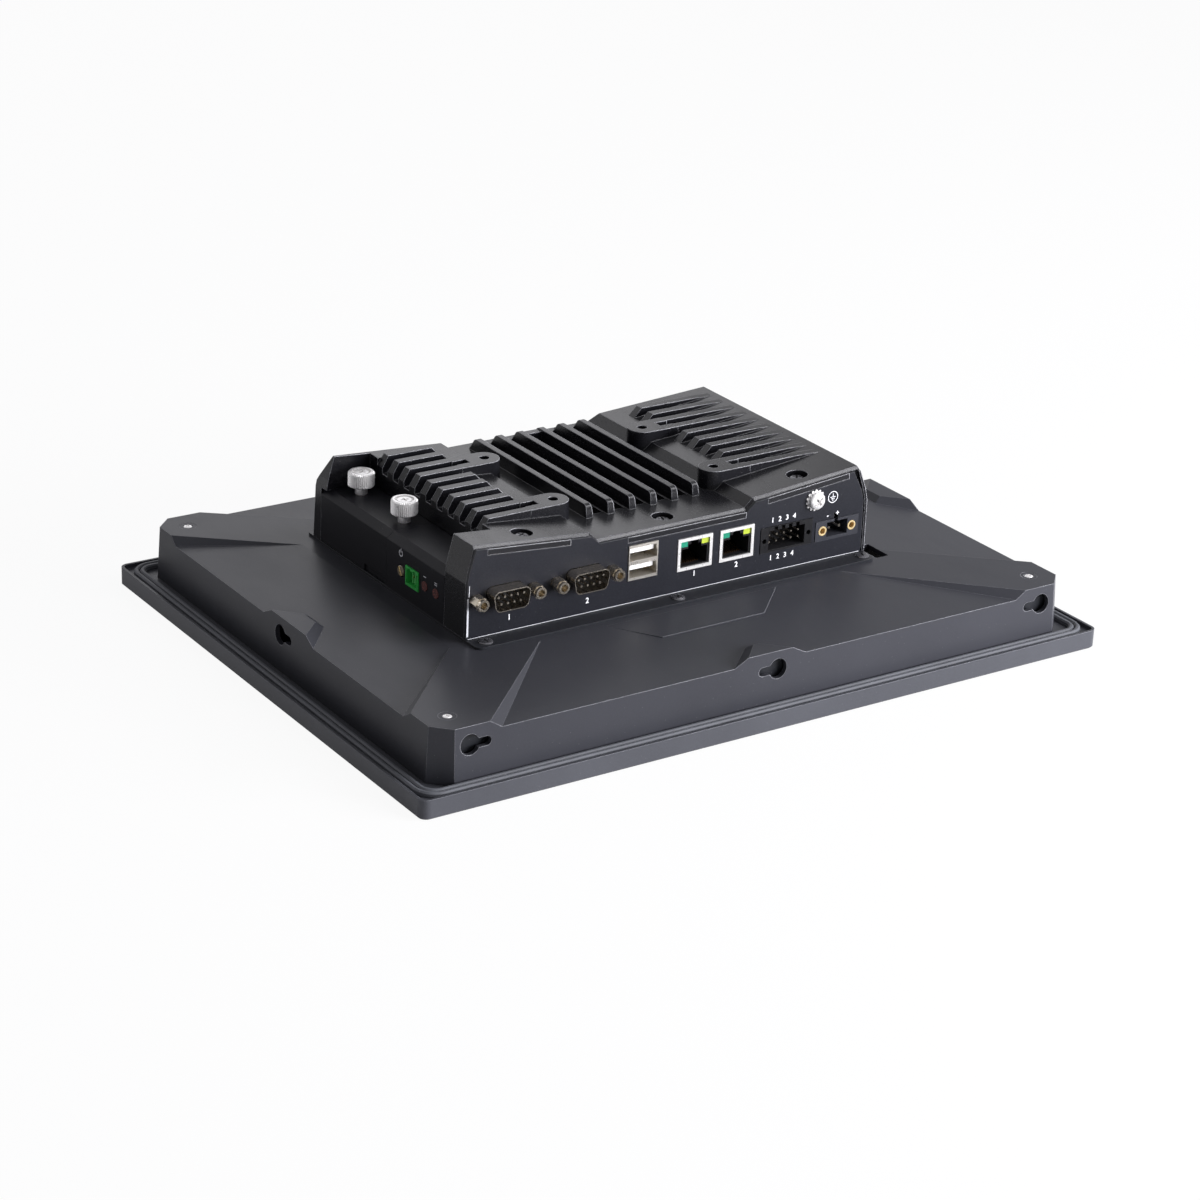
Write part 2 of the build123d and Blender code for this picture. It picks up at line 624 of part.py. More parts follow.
    # Right wall and three lips that come forward to the face of the connector plate
    with BuildSketch(Plane.XZ.offset(-plate_back)):
        Polygon(
            (right_x - 1.3, tray_top), (right_x, tray_top), (right_x - 0.2, 50.6),
            (right_x - 1.3, 55.4), (box_x + deck_edge, deck_edge_z - 1.2),
            (box_x + deck_edge - 0.9, deck_edge_z - 1.2), (right_x - 2.7, 55.0),
            (right_x - 1.5, 50.6),
            align=None,
        )
        for (x_from, z_from), (x_to, z_to) in lips:
            Polygon(
                (x_from, z_from - lip_t), (x_to, z_to - lip_t), (x_to, z_to), (x_from, z_from),
                align=None,
            )
    extrude(amount=plate_t)

# Three screws in the deck; each shank is as long as its seat is high
with BuildPart() as deck_screws:
    for x_spot in deck_spots:
        dx = abs(x_spot - box_x)
        seat = (deck_z(dx) if dx > deck_in else floor_z) - 2.6
        with Locations((x_spot, deck_screw_y, seat)):
            add(pan_screw(3.0, 1.9, 1.4, seat - roof_z + 0.1))

# Connector plate: sheet that closes the front of the casting
with BuildPart() as io_plate:
    with BuildSketch(Plane.XZ.offset(-plate_front)) as plate_sketch:
        Polygon(
            (left_x + 0.2, tray_top + 0.1), (left_x + 0.2, 50.6), (left_x + 1.0, 55.4),
            *deck_line(1.0)[:5],
            (box_x + deck_edge - 3.2, deck_z(deck_edge - 3.2) - 1.0),
            (right_x - 2.7 - 0.7, 55.2), (right_x - 1.5 - 0.6, 50.6),
            (right_x - 1.3 - 0.6, tray_top + 0.1),
            align=None,
        )
        # Notches for the three lips of the casting
        for (x_from, z_from), (x_to, z_to) in lips:
            notch_l, notch_r = x_from - lip_gap, x_to + lip_gap
            notch_t = lip_t + lip_gap
            Polygon(
                (notch_l, z_from - notch_t), (notch_r, z_to - notch_t),
                (notch_r, z_to + 3), (notch_l, z_from + 3),
                align=None, mode=Mode.SUBTRACT,
            )
        for x_com in com_x:
            with Locations((x_com, com_z)):
                add(d_outline(shell_w + 2 * gap_snug, shell_h + 2 * gap_snug, 2.6),
                    mode=Mode.SUBTRACT)
            with Locations((x_com - com_pitch / 2, com_z), (x_com + com_pitch / 2, com_z)):
                Circle(1.7, mode=Mode.SUBTRACT)
        with Locations((usb_x, usb_z0 + usb_h / 2)):
            Rectangle(usb_w + 2 * gap_snug, usb_h + 2 * gap_snug, mode=Mode.SUBTRACT)
        for x_lan in lan_x:
            with Locations((x_lan, lan_z0 + lan_h / 2)):
                Rectangle(lan_w + 2 * gap_snug, lan_h + 2 * gap_snug, mode=Mode.SUBTRACT)
        with Locations((dio_x, dio_z0 + dio_h / 2)):
            Rectangle(dio_w + 2 * gap_snug, dio_h + 2 * gap_snug, mode=Mode.SUBTRACT)
        with Locations((dc_x, dc_z0 + dc_h / 2)):
            Rectangle(dc_w + 2 * gap_snug, dc_h + 2 * gap_snug, mode=Mode.SUBTRACT)
        # Keying notch above the supply connector
        with Locations((dc_x - 0.6, dc_z0 + dc_h + 1.0)):
            Rectangle(2.2, 3.0, mode=Mode.SUBTRACT)
        with Locations((ground_x, ground_z)):
            Circle(2.1, mode=Mode.SUBTRACT)
    extrude(amount=-plate_t)
    # Three tapped tabs folded back below the roof
    for x_spot in deck_spots:
        with BuildSketch(Plane.XY.offset(roof_z + 0.1)):
            with Locations((x_spot, (plate_back - 34.5) / 2)):
                Rectangle(12.0, -34.5 - plate_back)
            with Locations((x_spot, deck_screw_y)):
                Circle(1.45, mode=Mode.SUBTRACT)
        extrude(amount=1.4)
    # Narrow bare return at the left edge
    with BuildSketch(Plane.XY.offset(29.6)):
        with Locations((left_x + 0.2, plate_front + 0.75)):
            Rectangle(0.4, plate_t)
    extrude(amount=15.2)

# Nine-way ports: shells with flanges, mouldings, pins and hexagonal jackscrews
with BuildPart() as com_shells:
    for x_com in com_x:
        with BuildSketch(Plane.XZ.offset(-plate_back)):
            with Locations((x_com, com_z)):
                RectangleRounded(flange_w, flange_h, 1.5)
            with Locations((x_com - com_pitch / 2, com_z), (x_com + com_pitch / 2, com_z)):
                Circle(1.6, mode=Mode.SUBTRACT)
        extrude(amount=-flange_t)
        with BuildSketch(Plane.XZ.offset(-plate_back)):
            with Locations((x_com, com_z)):
                add(d_outline(shell_w, shell_h, 2.5))
        extrude(amount=plate_t + shell_out)
        with BuildSketch(Plane.XZ.offset(-plate_back - 1)):
            with Locations((x_com, com_z)):
                add(d_outline(shell_w - 0.9, shell_h - 0.9, 2.05))
        extrude(amount=12.0, both=True, mode=Mode.SUBTRACT)

with BuildPart() as com_mouldings:
    for x_com in com_x:
        with BuildSketch(Plane.XZ.offset(-plate_front - 0.6)):
            with Locations((x_com, com_z)):
                add(d_outline(shell_w - 1.0, shell_h - 1.0, 2.0))
        extrude(amount=-(plate_t - 0.6 + flange_t))
        with BuildSketch(Plane.XZ.offset(-plate_back - flange_t)):
            with Locations((x_com, board_z + 5.9)):
                Rectangle(19.4, 11.8)
        extrude(amount=-10.0)

with BuildPart() as com_pins:
    for x_com in com_x:
        with BuildSketch(Plane.XZ.offset(-plate_front - 0.6)):
            for count, row in ((5, 1), (4, -1)):
                for n in range(count):
                    with Locations((x_com + (n - (count - 1) / 2) * 2.77, com_z + row * 1.42)):
                        RegularPolygon(0.5, 8)
        extrude(amount=shell_out - 0.4)

with BuildPart() as com_jackscrews:
    for x_com in com_x:
        for side in (-1, 1):
            x_jack = x_com + side * com_pitch / 2
            with BuildSketch(Plane.XZ.offset(-plate_front)):
                with Locations((x_jack, com_z)):
                    RegularPolygon(2.75, 6)
            extrude(amount=4.6)
            with BuildSketch(Plane.XZ.offset(-plate_front + 4.6)):
                with Locations((x_jack, com_z)):
                    Circle(2.3)
            extrude(amount=1.4)
            with BuildSketch(Plane.XZ.offset(-plate_front)):
                with Locations((x_jack, com_z)):
                    Circle(1.4)
            extrude(amount=-5.0)
            with BuildSketch(Plane.XZ.offset(-plate_front + 6.0)):
                with Locations((x_jack, com_z)):
                    Circle(1.45)
            extrude(amount=-4.6, mode=Mode.SUBTRACT)

# Twin USB receptacle: one shield around two ports
usb_mid = usb_z0 + usb_h / 2
usb_port_w, usb_port_h, usb_step = 12.5, 5.12, 6.9
usb_depth = 15.0
with BuildPart() as usb_shield:
    with BuildSketch(Plane.XZ.offset(-plate_front + 0.4)) as usb_sketch:
        with Locations((usb_x, usb_mid)):
            Rectangle(usb_w, usb_h)
        with Locations((usb_x, usb_mid + usb_step / 2), (usb_x, usb_mid - usb_step / 2)):
            Rectangle(usb_port_w, usb_port_h, mode=Mode.SUBTRACT)
    extrude(amount=-usb_depth - 2.4)
    with BuildSketch(Plane.XZ.offset(-plate_front - usb_depth + 1.0)):
        with Locations((usb_x, usb_mid)):
            Rectangle(usb_w, usb_h)
    extrude(amount=-1.0)

with BuildPart() as usb_tongues:
    for side in (-1, 1):
        with BuildSketch(Plane.XZ.offset(-plate_front - 1.2)):
            with Locations((usb_x, usb_mid + side * usb_step / 2 + 1.0)):
                Rectangle(11.1, 1.9)
        extrude(amount=-(usb_depth - 2.2))

with BuildPart() as usb_contacts:
    for side in (-1, 1):
        for n in range(4):
            with BuildSketch(Plane.XZ.offset(-plate_front - 1.9)):
                with Locations((usb_x + (n - 1.5) * 2.33, usb_mid + side * usb_step / 2 - 0.05 - 0.13)):
                    Rectangle(1.0, 0.24)
            extrude(amount=-8.0)

# Network jacks: shields, mouldings with the stepped opening, contacts and lamps
lan_depth = 15.6
lan_out = 0.35
jack_w, jack_h, jack_depth = 11.8, 7.0, 12.5
jack_back = plate_front - lan_out + jack_depth
with BuildPart() as lan_shields:
    for x_lan in lan_x:
        with BuildSketch(Plane.XZ.offset(-plate_front + lan_out)):
            with Locations((x_lan, lan_z0 + lan_h / 2)):
                Rectangle(lan_w, lan_h)
                Rectangle(lan_w - 2.6, lan_h - 2.6, mode=Mode.SUBTRACT)
        extrude(amount=-0.5)
        with BuildSketch(Plane.XZ.offset(-plate_front + lan_out - 0.5)):
            with Locations((x_lan, lan_z0 + lan_h / 2)):
                Rectangle(lan_w, lan_h)
                Rectangle(lan_w - 0.6, lan_h - 0.6, mode=Mode.SUBTRACT)
        extrude(amount=-lan_depth)

with BuildPart() as lan_mouldings:
    for x_lan in lan_x:
        jack_mid = lan_z0 + 1.7 + jack_h / 2
        with BuildSketch(Plane.XZ.offset(-plate_front + lan_out - 0.55)):
            with Locations((x_lan, lan_z0 + lan_h / 2)):
                Rectangle(lan_w - 0.7, lan_h - 0.7)
        extrude(amount=-lan_depth + 0.4)
        with BuildSketch(Plane.XZ.offset(-plate_front + lan_out)):
            with Locations((x_lan, jack_mid)):
                Rectangle(jack_w, jack_h)
            with Locations((x_lan, jack_mid + jack_h / 2 + 0.8)):
                Rectangle(6.2, 1.7)
            with Locations((x_lan, jack_mid + jack_h / 2 + 2.2)):
                Rectangle(3.4, 1.4)
        extrude(amount=-jack_depth, mode=Mode.SUBTRACT)
        with BuildSketch(Plane.XZ.offset(-plate_front + lan_out)):
            for side in (-1, 1):
                with Locations((x_lan + side * 5.0, lan_z0 + lan_h - 2.6)):
                    Rectangle(3.6, 2.5)
        extrude(amount=-2.4, mode=Mode.SUBTRACT)

with BuildPart() as lan_contacts:
    for x_lan in lan_x:
        with BuildSketch(Plane.YZ.offset(x_lan - 3.5 * 1.02 - 0.17)) as contact_side:
            Polygon(
                (plate_front + 3.0, lan_z0 + 2.2), (jack_back, lan_z0 + 5.2),
                (jack_back, lan_z0 + 4.8), (plate_front + 3.0, lan_z0 + 1.72),
                align=None,
            )
        for n in range(8):
            extrude(contact_side.sketch.moved(Location((n * 1.02, 0, 0))), amount=0.34)

with BuildPart() as lan_green_lamps:
    for x_lan in lan_x:
        with BuildSketch(Plane.XZ.offset(-plate_front + lan_out - 0.6)):
            with Locations((x_lan - 5.0, lan_z0 + lan_h - 2.6)):
                Rectangle(3.4, 2.3)
        extrude(amount=-1.7)

with BuildPart() as lan_amber_lamps:
    for x_lan in lan_x:
        with BuildSketch(Plane.XZ.offset(-plate_front + lan_out - 0.6)):
            with Locations((x_lan + 5.0, lan_z0 + lan_h - 2.6)):
                Rectangle(3.4, 2.3)
        extrude(amount=-1.7)

# Signal connector: two rows of pins in a socket with keying notches and end flanges
dio_proud = 0.3
dio_depth = 11.0
with BuildPart() as signal_header:
    dio_mid = dio_z0 + dio_h / 2
    with BuildSketch(Plane.XZ.offset(-plate_front + dio_proud)):
        with Locations((dio_x, dio_mid)):
            Rectangle(dio_w, dio_h)
    extrude(amount=-dio_depth - dio_proud)
    with BuildSketch(Plane.XZ.offset(-plate_front + dio_proud)):
        with Locations((dio_x, dio_mid - 0.4)):
            Rectangle(dio_count * dio_pitch, dio_h - 2.6)
        for n in range(4):
            with Locations((dio_x + (n - 1.5) * dio_pitch, dio_z0 + dio_h - 1.2)):
                Rectangle(1.7, 2.0)
        with Locations((dio_x - 10.75, dio_mid - 0.3), (dio_x + 10.75, dio_mid - 0.3)):
            Circle(1.0)
    extrude(amount=-8.6, mode=Mode.SUBTRACT)

dio_row = 2.8
with BuildPart() as signal_pins:
    with BuildSketch(Plane.XZ.offset(-plate_front - 1.6)):
        with Locations((dio_x, dio_mid - 0.4)):
            with GridLocations(dio_pitch, dio_row, dio_count, 2):
                Rectangle(0.7, 0.7)
    extrude(amount=-6.7)

# Supply connector: two pins in a keyed socket between two threaded brass inserts
dc_mid = dc_z0 + dc_h / 2
insert_x = 7.2
with BuildPart() as supply_header:
    with BuildSketch(Plane.XZ.offset(-plate_front + dio_proud)):
        with Locations((dc_x, dc_mid)):
            Rectangle(dc_w, dc_h)
    extrude(amount=-dio_depth - dio_proud)
    with BuildSketch(Plane.XZ.offset(-plate_front + dio_proud)):
        with Locations((dc_x, dc_mid + 0.1)):
            Rectangle(2 * dc_pitch, dc_h - 2.2)
        with Locations((dc_x - 0.6, dc_z0 + dc_h - 0.8)):
            Rectangle(1.6, 1.8)
    extrude(amount=-8.6, mode=Mode.SUBTRACT)
    with BuildSketch(Plane.XZ.offset(-plate_front + dio_proud)):
        with Locations((dc_x - insert_x, dc_mid), (dc_x + insert_x, dc_mid)):
            Circle(2.05)
    extrude(amount=-5.4, mode=Mode.SUBTRACT)

with BuildPart() as supply_inserts:
    with BuildSketch(Plane.XZ.offset(-plate_front + dio_proud + 0.15)):
        with Locations((dc_x - insert_x, dc_mid), (dc_x + insert_x, dc_mid)):
            Circle(1.95)
            Circle(1.25, mode=Mode.SUBTRACT)
    extrude(amount=-5.0)

with BuildPart() as supply_pins:
    with BuildSketch(Plane.XZ.offset(-plate_front - 1.6)):
        with Locations((dc_x - dc_pitch / 2, dc_mid), (dc_x + dc_pitch / 2, dc_mid)):
            Rectangle(1.0, 1.0)
    extrude(amount=-6.7)

# Earth screw with a toothed washer
washer_t = 0.5
with BuildPart() as star_washer:
    with BuildSketch(Plane.XZ.offset(-plate_front)):
        with Locations((ground_x, ground_z)):
            Circle(3.75)
            with PolarLocations(4.0, 14):
                Rectangle(1.1, 1.05)
            Circle(2.2, mode=Mode.SUBTRACT)
    extrude(amount=washer_t)

earth_screw = pan_screw(3.6, 2.5, 1.95, 7.0).rotate(Axis.X, 90)
with BuildPart() as ground_screw:
    with Locations((ground_x, plate_front - washer_t, ground_z)):
        add(earth_screw)

# Left side: fixed panel and removable storage cover share one folded section
bevel_x, bevel_z = 3.2, 2.5


def side_section(foot_z):
    fold = side_t * 0.42
    return [
        (left_x, foot_z), (left_x, ledge_top - bevel_z), (left_x + bevel_x, ledge_top),
        (bay_x - gap_snug, ledge_top), (bay_x - gap_snug, ledge_top - side_t),
        (left_x + bevel_x + fold, ledge_top - side_t),
        (left_x + side_t, ledge_top - bevel_z - fold), (left_x + side_t, foot_z),
    ]


button_y, button_z, button_r = -2.6, 39.0, 2.2
remote_y, remote_w, remote_z0, remote_h = -11.3, 9.3, 35.2, 7.8
lamp_y, lamp_z, lamp_r = (-20.2, -28.3), 39.2, 2.0
with BuildPart() as side_panel:
    with BuildSketch(Plane.XZ.offset(-bay_y0 - gap_snug)):
        Polygon(*side_section(tray_top), align=None)
    extrude(amount=-(seam_y - gap_snug - bay_y0 - gap_snug))
    with BuildSketch(Plane.YZ.offset(left_x - 1)):
        with Locations((button_y, button_z)):
            Circle(button_r + 0.3)
        with Locations((remote_y, remote_z0 + remote_h / 2)):
            Rectangle(remote_w + 2 * gap_snug, remote_h + 2 * gap_snug)
        with Locations(*[(y, lamp_z) for y in lamp_y]):
            Circle(lamp_r + gap_snug)
    extrude(amount=4.0, mode=Mode.SUBTRACT)

thumb_x = -84.4
thumb_y = (48.4, 14.9)
with BuildPart() as storage_cover:
    with BuildSketch(Plane.XZ.offset(-seam_y)):
        Polygon(*side_section(tray_top + 0.4), align=None)
    extrude(amount=-(bay_y1 - 0.2 - seam_y))
    # Finger notch in the lower edge, near the front end
    with BuildSketch(Plane.YZ.offset(left_x - 0.5)):
        with Locations((seam_y + 9.0, tray_top + 1.6)):
            Rectangle(16.0, 3.0)
    extrude(amount=0.5 + side_t / 2, mode=Mode.SUBTRACT)
    with BuildSketch(Plane.XY.offset(ledge_top)):
        with Locations(*[(thumb_x, y) for y in thumb_y]):
            Circle(1.8)
    extrude(amount=-2 * side_t, mode=Mode.SUBTRACT)

# Knurled thumbscrews that hold the storage cover
thumb_r, thumb_neck, thumb_head = 5.3, 3.2, 6.0
with BuildPart() as storage_thumbscrews:
    for y_thumb in thumb_y:
        with BuildSketch(Plane.XY.offset(ledge_top + thumb_neck)):
            with Locations((thumb_x, y_thumb)):
                Circle(thumb_r)
                with PolarLocations(thumb_r + 0.05, 28):
                    Rectangle(0.6, 0.5, mode=Mode.SUBTRACT)
        extrude(amount=thumb_head)
        with BuildSketch(Plane.XY.offset(ledge_top + thumb_neck + thumb_head)):
            with Locations((thumb_x, y_thumb)):
                Circle(3.6)
        extrude(amount=-0.5, mode=Mode.SUBTRACT)
        with BuildSketch(Plane.XY.offset(ledge_top + thumb_neck + thumb_head)):
            with Locations((thumb_x, y_thumb)):
                Rectangle(4.0, 1.0)
                Rectangle(1.0, 4.0)
        extrude(amount=-1.9, mode=Mode.SUBTRACT)
        with BuildSketch(Plane.XY.offset(ledge_top)):
            with Locations((thumb_x, y_thumb)):
                Circle(2.2)
        extrude(amount=thumb_neck)
        with BuildSketch(Plane.XY.offset(ledge_top)):
            with Locations((thumb_x, y_thumb)):
                Circle(1.45)
        extrude(amount=-7.6)

# Storage bay bracket: folded sheet with a window for the card and two tapped bushes
card_w, card_l, card_t = 36.4, 42.8, 3.3
card_y, card_x0, card_z = 35.6, -90.0, 38.1
bracket_t = 1.2
with BuildPart() as storage_bracket:
    with BuildSketch(Plane.XZ.offset(-seam_y - 1.2)):
        Polygon(
            (-91.5, tray_top), (bay_x, tray_top), (bay_x, 45.6), (-91.5, 45.6),
            (-91.5, 45.6 - bracket_t), (bay_x - bracket_t, 45.6 - bracket_t),
            (bay_x - bracket_t, tray_top + bracket_t), (-91.5, tray_top + bracket_t),
            align=None,
        )
    extrude(amount=-48.6)
    with BuildSketch(Plane.XY.offset(45.6)):
        with Locations(*[(thumb_x, y) for y in thumb_y]):
            Circle(3.2)
    extrude(amount=-3.6)
    with BuildSketch(Plane.XY.offset(45.6)):
        with Locations(*[(thumb_x, y) for y in thumb_y]):
            Circle(1.6)
    extrude(amount=-3.6, mode=Mode.SUBTRACT)
    with BuildSketch(Plane.YZ.offset(bay_x - 5)):
        with Locations((card_y, card_z + card_t / 2)):
            Rectangle(card_w + 0.6, card_t + 0.3)
    extrude(amount=10.0, mode=Mode.SUBTRACT)

# Main board on hexagonal standoffs
board_spots = [(-70.0, -28.0), (0.0, -28.0), (71.0, -24.0), (-66.0, 8.0), (71.0, 17.0),
               (-12.0, 49.0)]
with BuildPart() as main_board:
    with BuildSketch(Plane.XY.offset(board_z - board_t)):
        Polygon(
            (-93.6, -47.6), (86.2, -47.6), (86.2, -28.0), (78.8, -28.0), (78.8, 55.0),
            (-74.0, 55.0), (-74.0, 5.0), (-86.6, 5.0), (-86.6, -34.6), (-93.6, -34.6),
            align=None,
        )
        with Locations(*board_spots):
            Circle(1.6, mode=Mode.SUBTRACT)
    extrude(amount=board_t)

with BuildPart() as board_standoffs:
    with BuildSketch(Plane.XY.offset(tray_top)):
        with Locations(*board_spots):
            RegularPolygon(standoff_r, 6)
            RegularPolygon(1.45, 10, mode=Mode.SUBTRACT)
    extrude(amount=board_z - board_t - tray_top)

with BuildPart() as board_screws:
    with BuildSketch(Plane.XY.offset(board_z)):
        with Locations(*board_spots):
            RegularPolygon(2.7, 12)
    extrude(amount=1.6)
    with BuildSketch(Plane.XY.offset(board_z)):
        with Locations(*board_spots):
            RegularPolygon(1.3, 10)
    extrude(amount=-6.0)

# Processor with its thermal pad below the pedestal of the casting
chip_t, die_t, pedestal_z = 1.2, 0.8, 40.0
with BuildPart() as processor:
    with BuildSketch(Plane.XY.offset(board_z)):
        with Locations((box_x, boss_y)):
            Rectangle(34.0, 28.0)
    extrude(amount=chip_t)
    with BuildSketch(Plane.XY.offset(board_z + chip_t)):
        with Locations((box_x, boss_y)):
            Rectangle(15.0, 12.0)
    extrude(amount=die_t)

with BuildPart() as thermal_pad:
    with BuildSketch(Plane.XY.offset(board_z + chip_t + die_t)):
        with Locations((box_x, boss_y)):
            Rectangle(20.0, 18.0)
    extrude(amount=pedestal_z - board_z - chip_t - die_t)

# Memory module in a low edge socket with latch arms
memory_x, memory_y1, memory_z = 41.5, 52.6, 40.0
with BuildPart() as memory_socket:
    with BuildSketch(Plane.XY.offset(board_z)):
        with Locations((memory_x, memory_y1 - 1.4)):
            Rectangle(73.0, 6.4)
        for side in (-1, 1):
            with Locations((memory_x + side * 35.3, memory_y1 - 12.0)):
                Rectangle(2.2, 22.0)
    extrude(amount=5.0)
    with BuildSketch(Plane.XZ.offset(-memory_y1 + 2.2)):
        with Locations((memory_x, memory_z + 0.6)):
            Rectangle(68.0, 1.5)
    extrude(amount=8.0, mode=Mode.SUBTRACT)

with BuildPart() as memory_module:
    with BuildSketch(Plane.XY.offset(memory_z)):
        with Locations((memory_x, memory_y1 - 2.4 - 14.0)):
            Rectangle(67.6, 28.0)
    extrude(amount=1.2)
    with BuildSketch(Plane.XY.offset(memory_z + 1.2)):
        with Locations((memory_x, memory_y1 - 2.4 - 17.5)):
            with GridLocations(15.6, 1, 4, 1):
                Rectangle(11.0, 12.0)
    extrude(amount=1.0)

# Storage card in its edge socket
with BuildPart() as storage_card:
    with BuildSketch(Plane.XY.offset(card_z)):
        with Locations((card_x0 + card_l / 2, card_y)):
            Rectangle(card_l, card_w)
    extrude(amount=card_t)
    with BuildSketch(Plane.XY.offset(card_z)):
        with Locations((card_x0 + 0.7, card_y)):
            Rectangle(1.4, card_w - 8)
    extrude(amount=card_t + 0.4)

with BuildPart() as storage_socket:
    with BuildSketch(Plane.XY.offset(board_z)):
        with Locations((card_x0 + card_l, card_y)):
            Rectangle(7.0, card_w + 5.0)
    extrude(amount=5.4)
    with BuildSketch(Plane.YZ.offset(card_x0 + card_l - 5)):
        with Locations((card_y, card_z + card_t / 2)):
            Rectangle(card_w + 0.4, card_t + 0.1)
    extrude(amount=5.2, mode=Mode.SUBTRACT)

# Clock battery in its holder
cell_x, cell_y = -30.0, 38.0
with BuildPart() as cell_holder:
    with BuildSketch(Plane.XY.offset(board_z)):
        with Locations((cell_x, cell_y)):
            Circle(11.6)
    extrude(amount=3.4)
    with BuildSketch(Plane.XY.offset(board_z + 0.8)):
        with Locations((cell_x, cell_y)):
            Circle(10.2)
    extrude(amount=5.0, mode=Mode.SUBTRACT)

with BuildPart() as coin_cell:
    with BuildSketch(Plane.XY.offset(board_z + 0.8)):
        with Locations((cell_x, cell_y)):
            Circle(10.0)
    extrude(amount=3.2)

# Power chokes and capacitors near the supply connector
with BuildPart() as power_chokes:
    with BuildSketch(Plane.XY.offset(board_z)):
        with Locations((44.0, -24.0), (53.0, -24.0), (62.0, -24.0)):
            Rectangle(7.4, 7.4)
    extrude(amount=4.2)

with BuildPart() as capacitors:
    with BuildSketch(Plane.XY.offset(board_z)):
        with Locations((43.0, -13.0), (51.0, -13.0), (59.0, -13.0), (67.0, -12.0)):
            RegularPolygon(3.15, 16)
    extrude(amount=7.2)

# Remote switch terminal in the side panel
with BuildPart() as remote_terminal:
    with BuildSketch(Plane.YZ.offset(left_x - 0.5)):
        with Locations((remote_y, remote_z0 + remote_h / 2)):
            Rectangle(remote_w, remote_h)
    extrude(amount=8.9)
    with BuildSketch(Plane.YZ.offset(left_x + 8.4)):
        with Locations((remote_y, (board_z + remote_z0 + remote_h) / 2)):
            Rectangle(remote_w, remote_z0 + remote_h - board_z)
    extrude(amount=4.0)
    with BuildSketch(Plane.YZ.offset(left_x - 0.5)):
        with Locations((remote_y, remote_z0 + remote_h / 2 - 0.2)):
            Rectangle(remote_w - 1.6, remote_h - 2.2)
        for side in (-1, 1):
            with Locations((remote_y + side * 1.9, remote_z0 + remote_h - 1.1)):
                Rectangle(1.5, 1.0)
    extrude(amount=7.8, mode=Mode.SUBTRACT)

with BuildPart() as remote_pins:
    with BuildSketch(Plane.YZ.offset(left_x + 1.2)):
        with Locations((remote_y - 1.9, remote_z0 + 3.6), (remote_y + 1.9, remote_z0 + 3.6)):
            Rectangle(0.9, 0.9)
    extrude(amount=6.1)

# Power button: plunger with a collar behind the panel, and its switch
button_travel = 0.4
button_face = left_x - 0.5
switch_face = left_x + 6.0
with BuildPart() as power_button:
    with BuildSketch(Plane.YZ.offset(button_face)):
        with Locations((button_y, button_z)):
            Circle(button_r)
    extrude(amount=switch_face - button_travel - 0.1 - button_face)
    chamfer(power_button.edges().group_by(Axis.X)[0], length=0.35)
    with BuildSketch(Plane.YZ.offset(left_x + side_t + 0.15)):
        with Locations((button_y, button_z)):
            Circle(button_r + 0.7)
    extrude(amount=0.8)

with BuildPart() as power_switch:
    with BuildSketch(Plane.YZ.offset(switch_face)):
        with Locations((button_y, button_z + 0.3)):
            Rectangle(6.0, 5.0)
    extrude(amount=3.2)
    with BuildSketch(Plane.YZ.offset(switch_face + 3.2)):
        with Locations((button_y, (board_z + button_z + 2.8) / 2)):
            Rectangle(6.0, button_z + 2.8 - board_z)
    extrude(amount=3.0)

# Status lamps in a holder on the board
with BuildPart() as status_lamps:
    with BuildSketch(Plane.YZ.offset(left_x - 0.2)):
        with Locations(*[(y, lamp_z) for y in lamp_y]):
            Circle(lamp_r)
    extrude(amount=9.6)

with BuildPart() as lamp_holder:
    with BuildSketch(Plane.YZ.offset(left_x + 9.4)):
        with Locations((sum(lamp_y) / 2, (board_z + 41.8) / 2)):
            Rectangle(13.2, 41.8 - board_z)
    extrude(amount=4.0)

# Screws from below that join the tray to the casting
with BuildPart() as base_screws:
    for x_spot, y_spot in foot_spots:
        with BuildSketch(Plane.XY.offset(cover_top + 0.05)):
            with Locations((x_spot, y_spot)):
                Circle(2.45)
        extrude(amount=tray_t - 0.05, taper=40.0)
        with BuildSketch(Plane.XY.offset(cover_top + 0.5)):
            with Locations((x_spot, y_spot)):
                Circle(1.3)
        extrude(amount=6.5)

# Docking connector between the two modules, with the interface board below
interface_z, interface_t = 15.4, 1.6
spacer_spots = [(3.0, 8.0), (65.0, 8.0), (3.0, 32.0), (65.0, 32.0)]
driver_spots = [(-86.0, -70.0), (-14.0, -70.0), (-86.0, -50.0), (-14.0, -50.0)]
with BuildPart() as interface_board:
    with BuildSketch(Plane.XY.offset(interface_z)):
        with Locations((34.0, 20.0)):
            Rectangle(72.0, 34.0)
    extrude(amount=interface_t)

with BuildPart() as docking_header:
    with BuildSketch(Plane.XY.offset(interface_z + interface_t)):
        with Locations((dock_x, dock_y)):
            Rectangle(58.0, 7.0)
    extrude(amount=30.4 - interface_z - interface_t)
    with BuildSketch(Plane.XY.offset(interface_z + interface_t)):
        with Locations((dock_x, dock_y)):
            Rectangle(52.0, 1.6)
    extrude(amount=33.4 - interface_z - interface_t)

with BuildPart() as docking_receptacle:
    with BuildSketch(Plane.XY.offset(board_z - board_t)):
        with Locations((dock_x, dock_y)):
            Rectangle(60.0, 9.0)
    extrude(amount=-(board_z - board_t - 30.5))
    with BuildSketch(Plane.XY.offset(30.5)):
        with Locations((dock_x, dock_y)):
            Rectangle(52.6, 2.0)
    extrude(amount=3.4, mode=Mode.SUBTRACT)

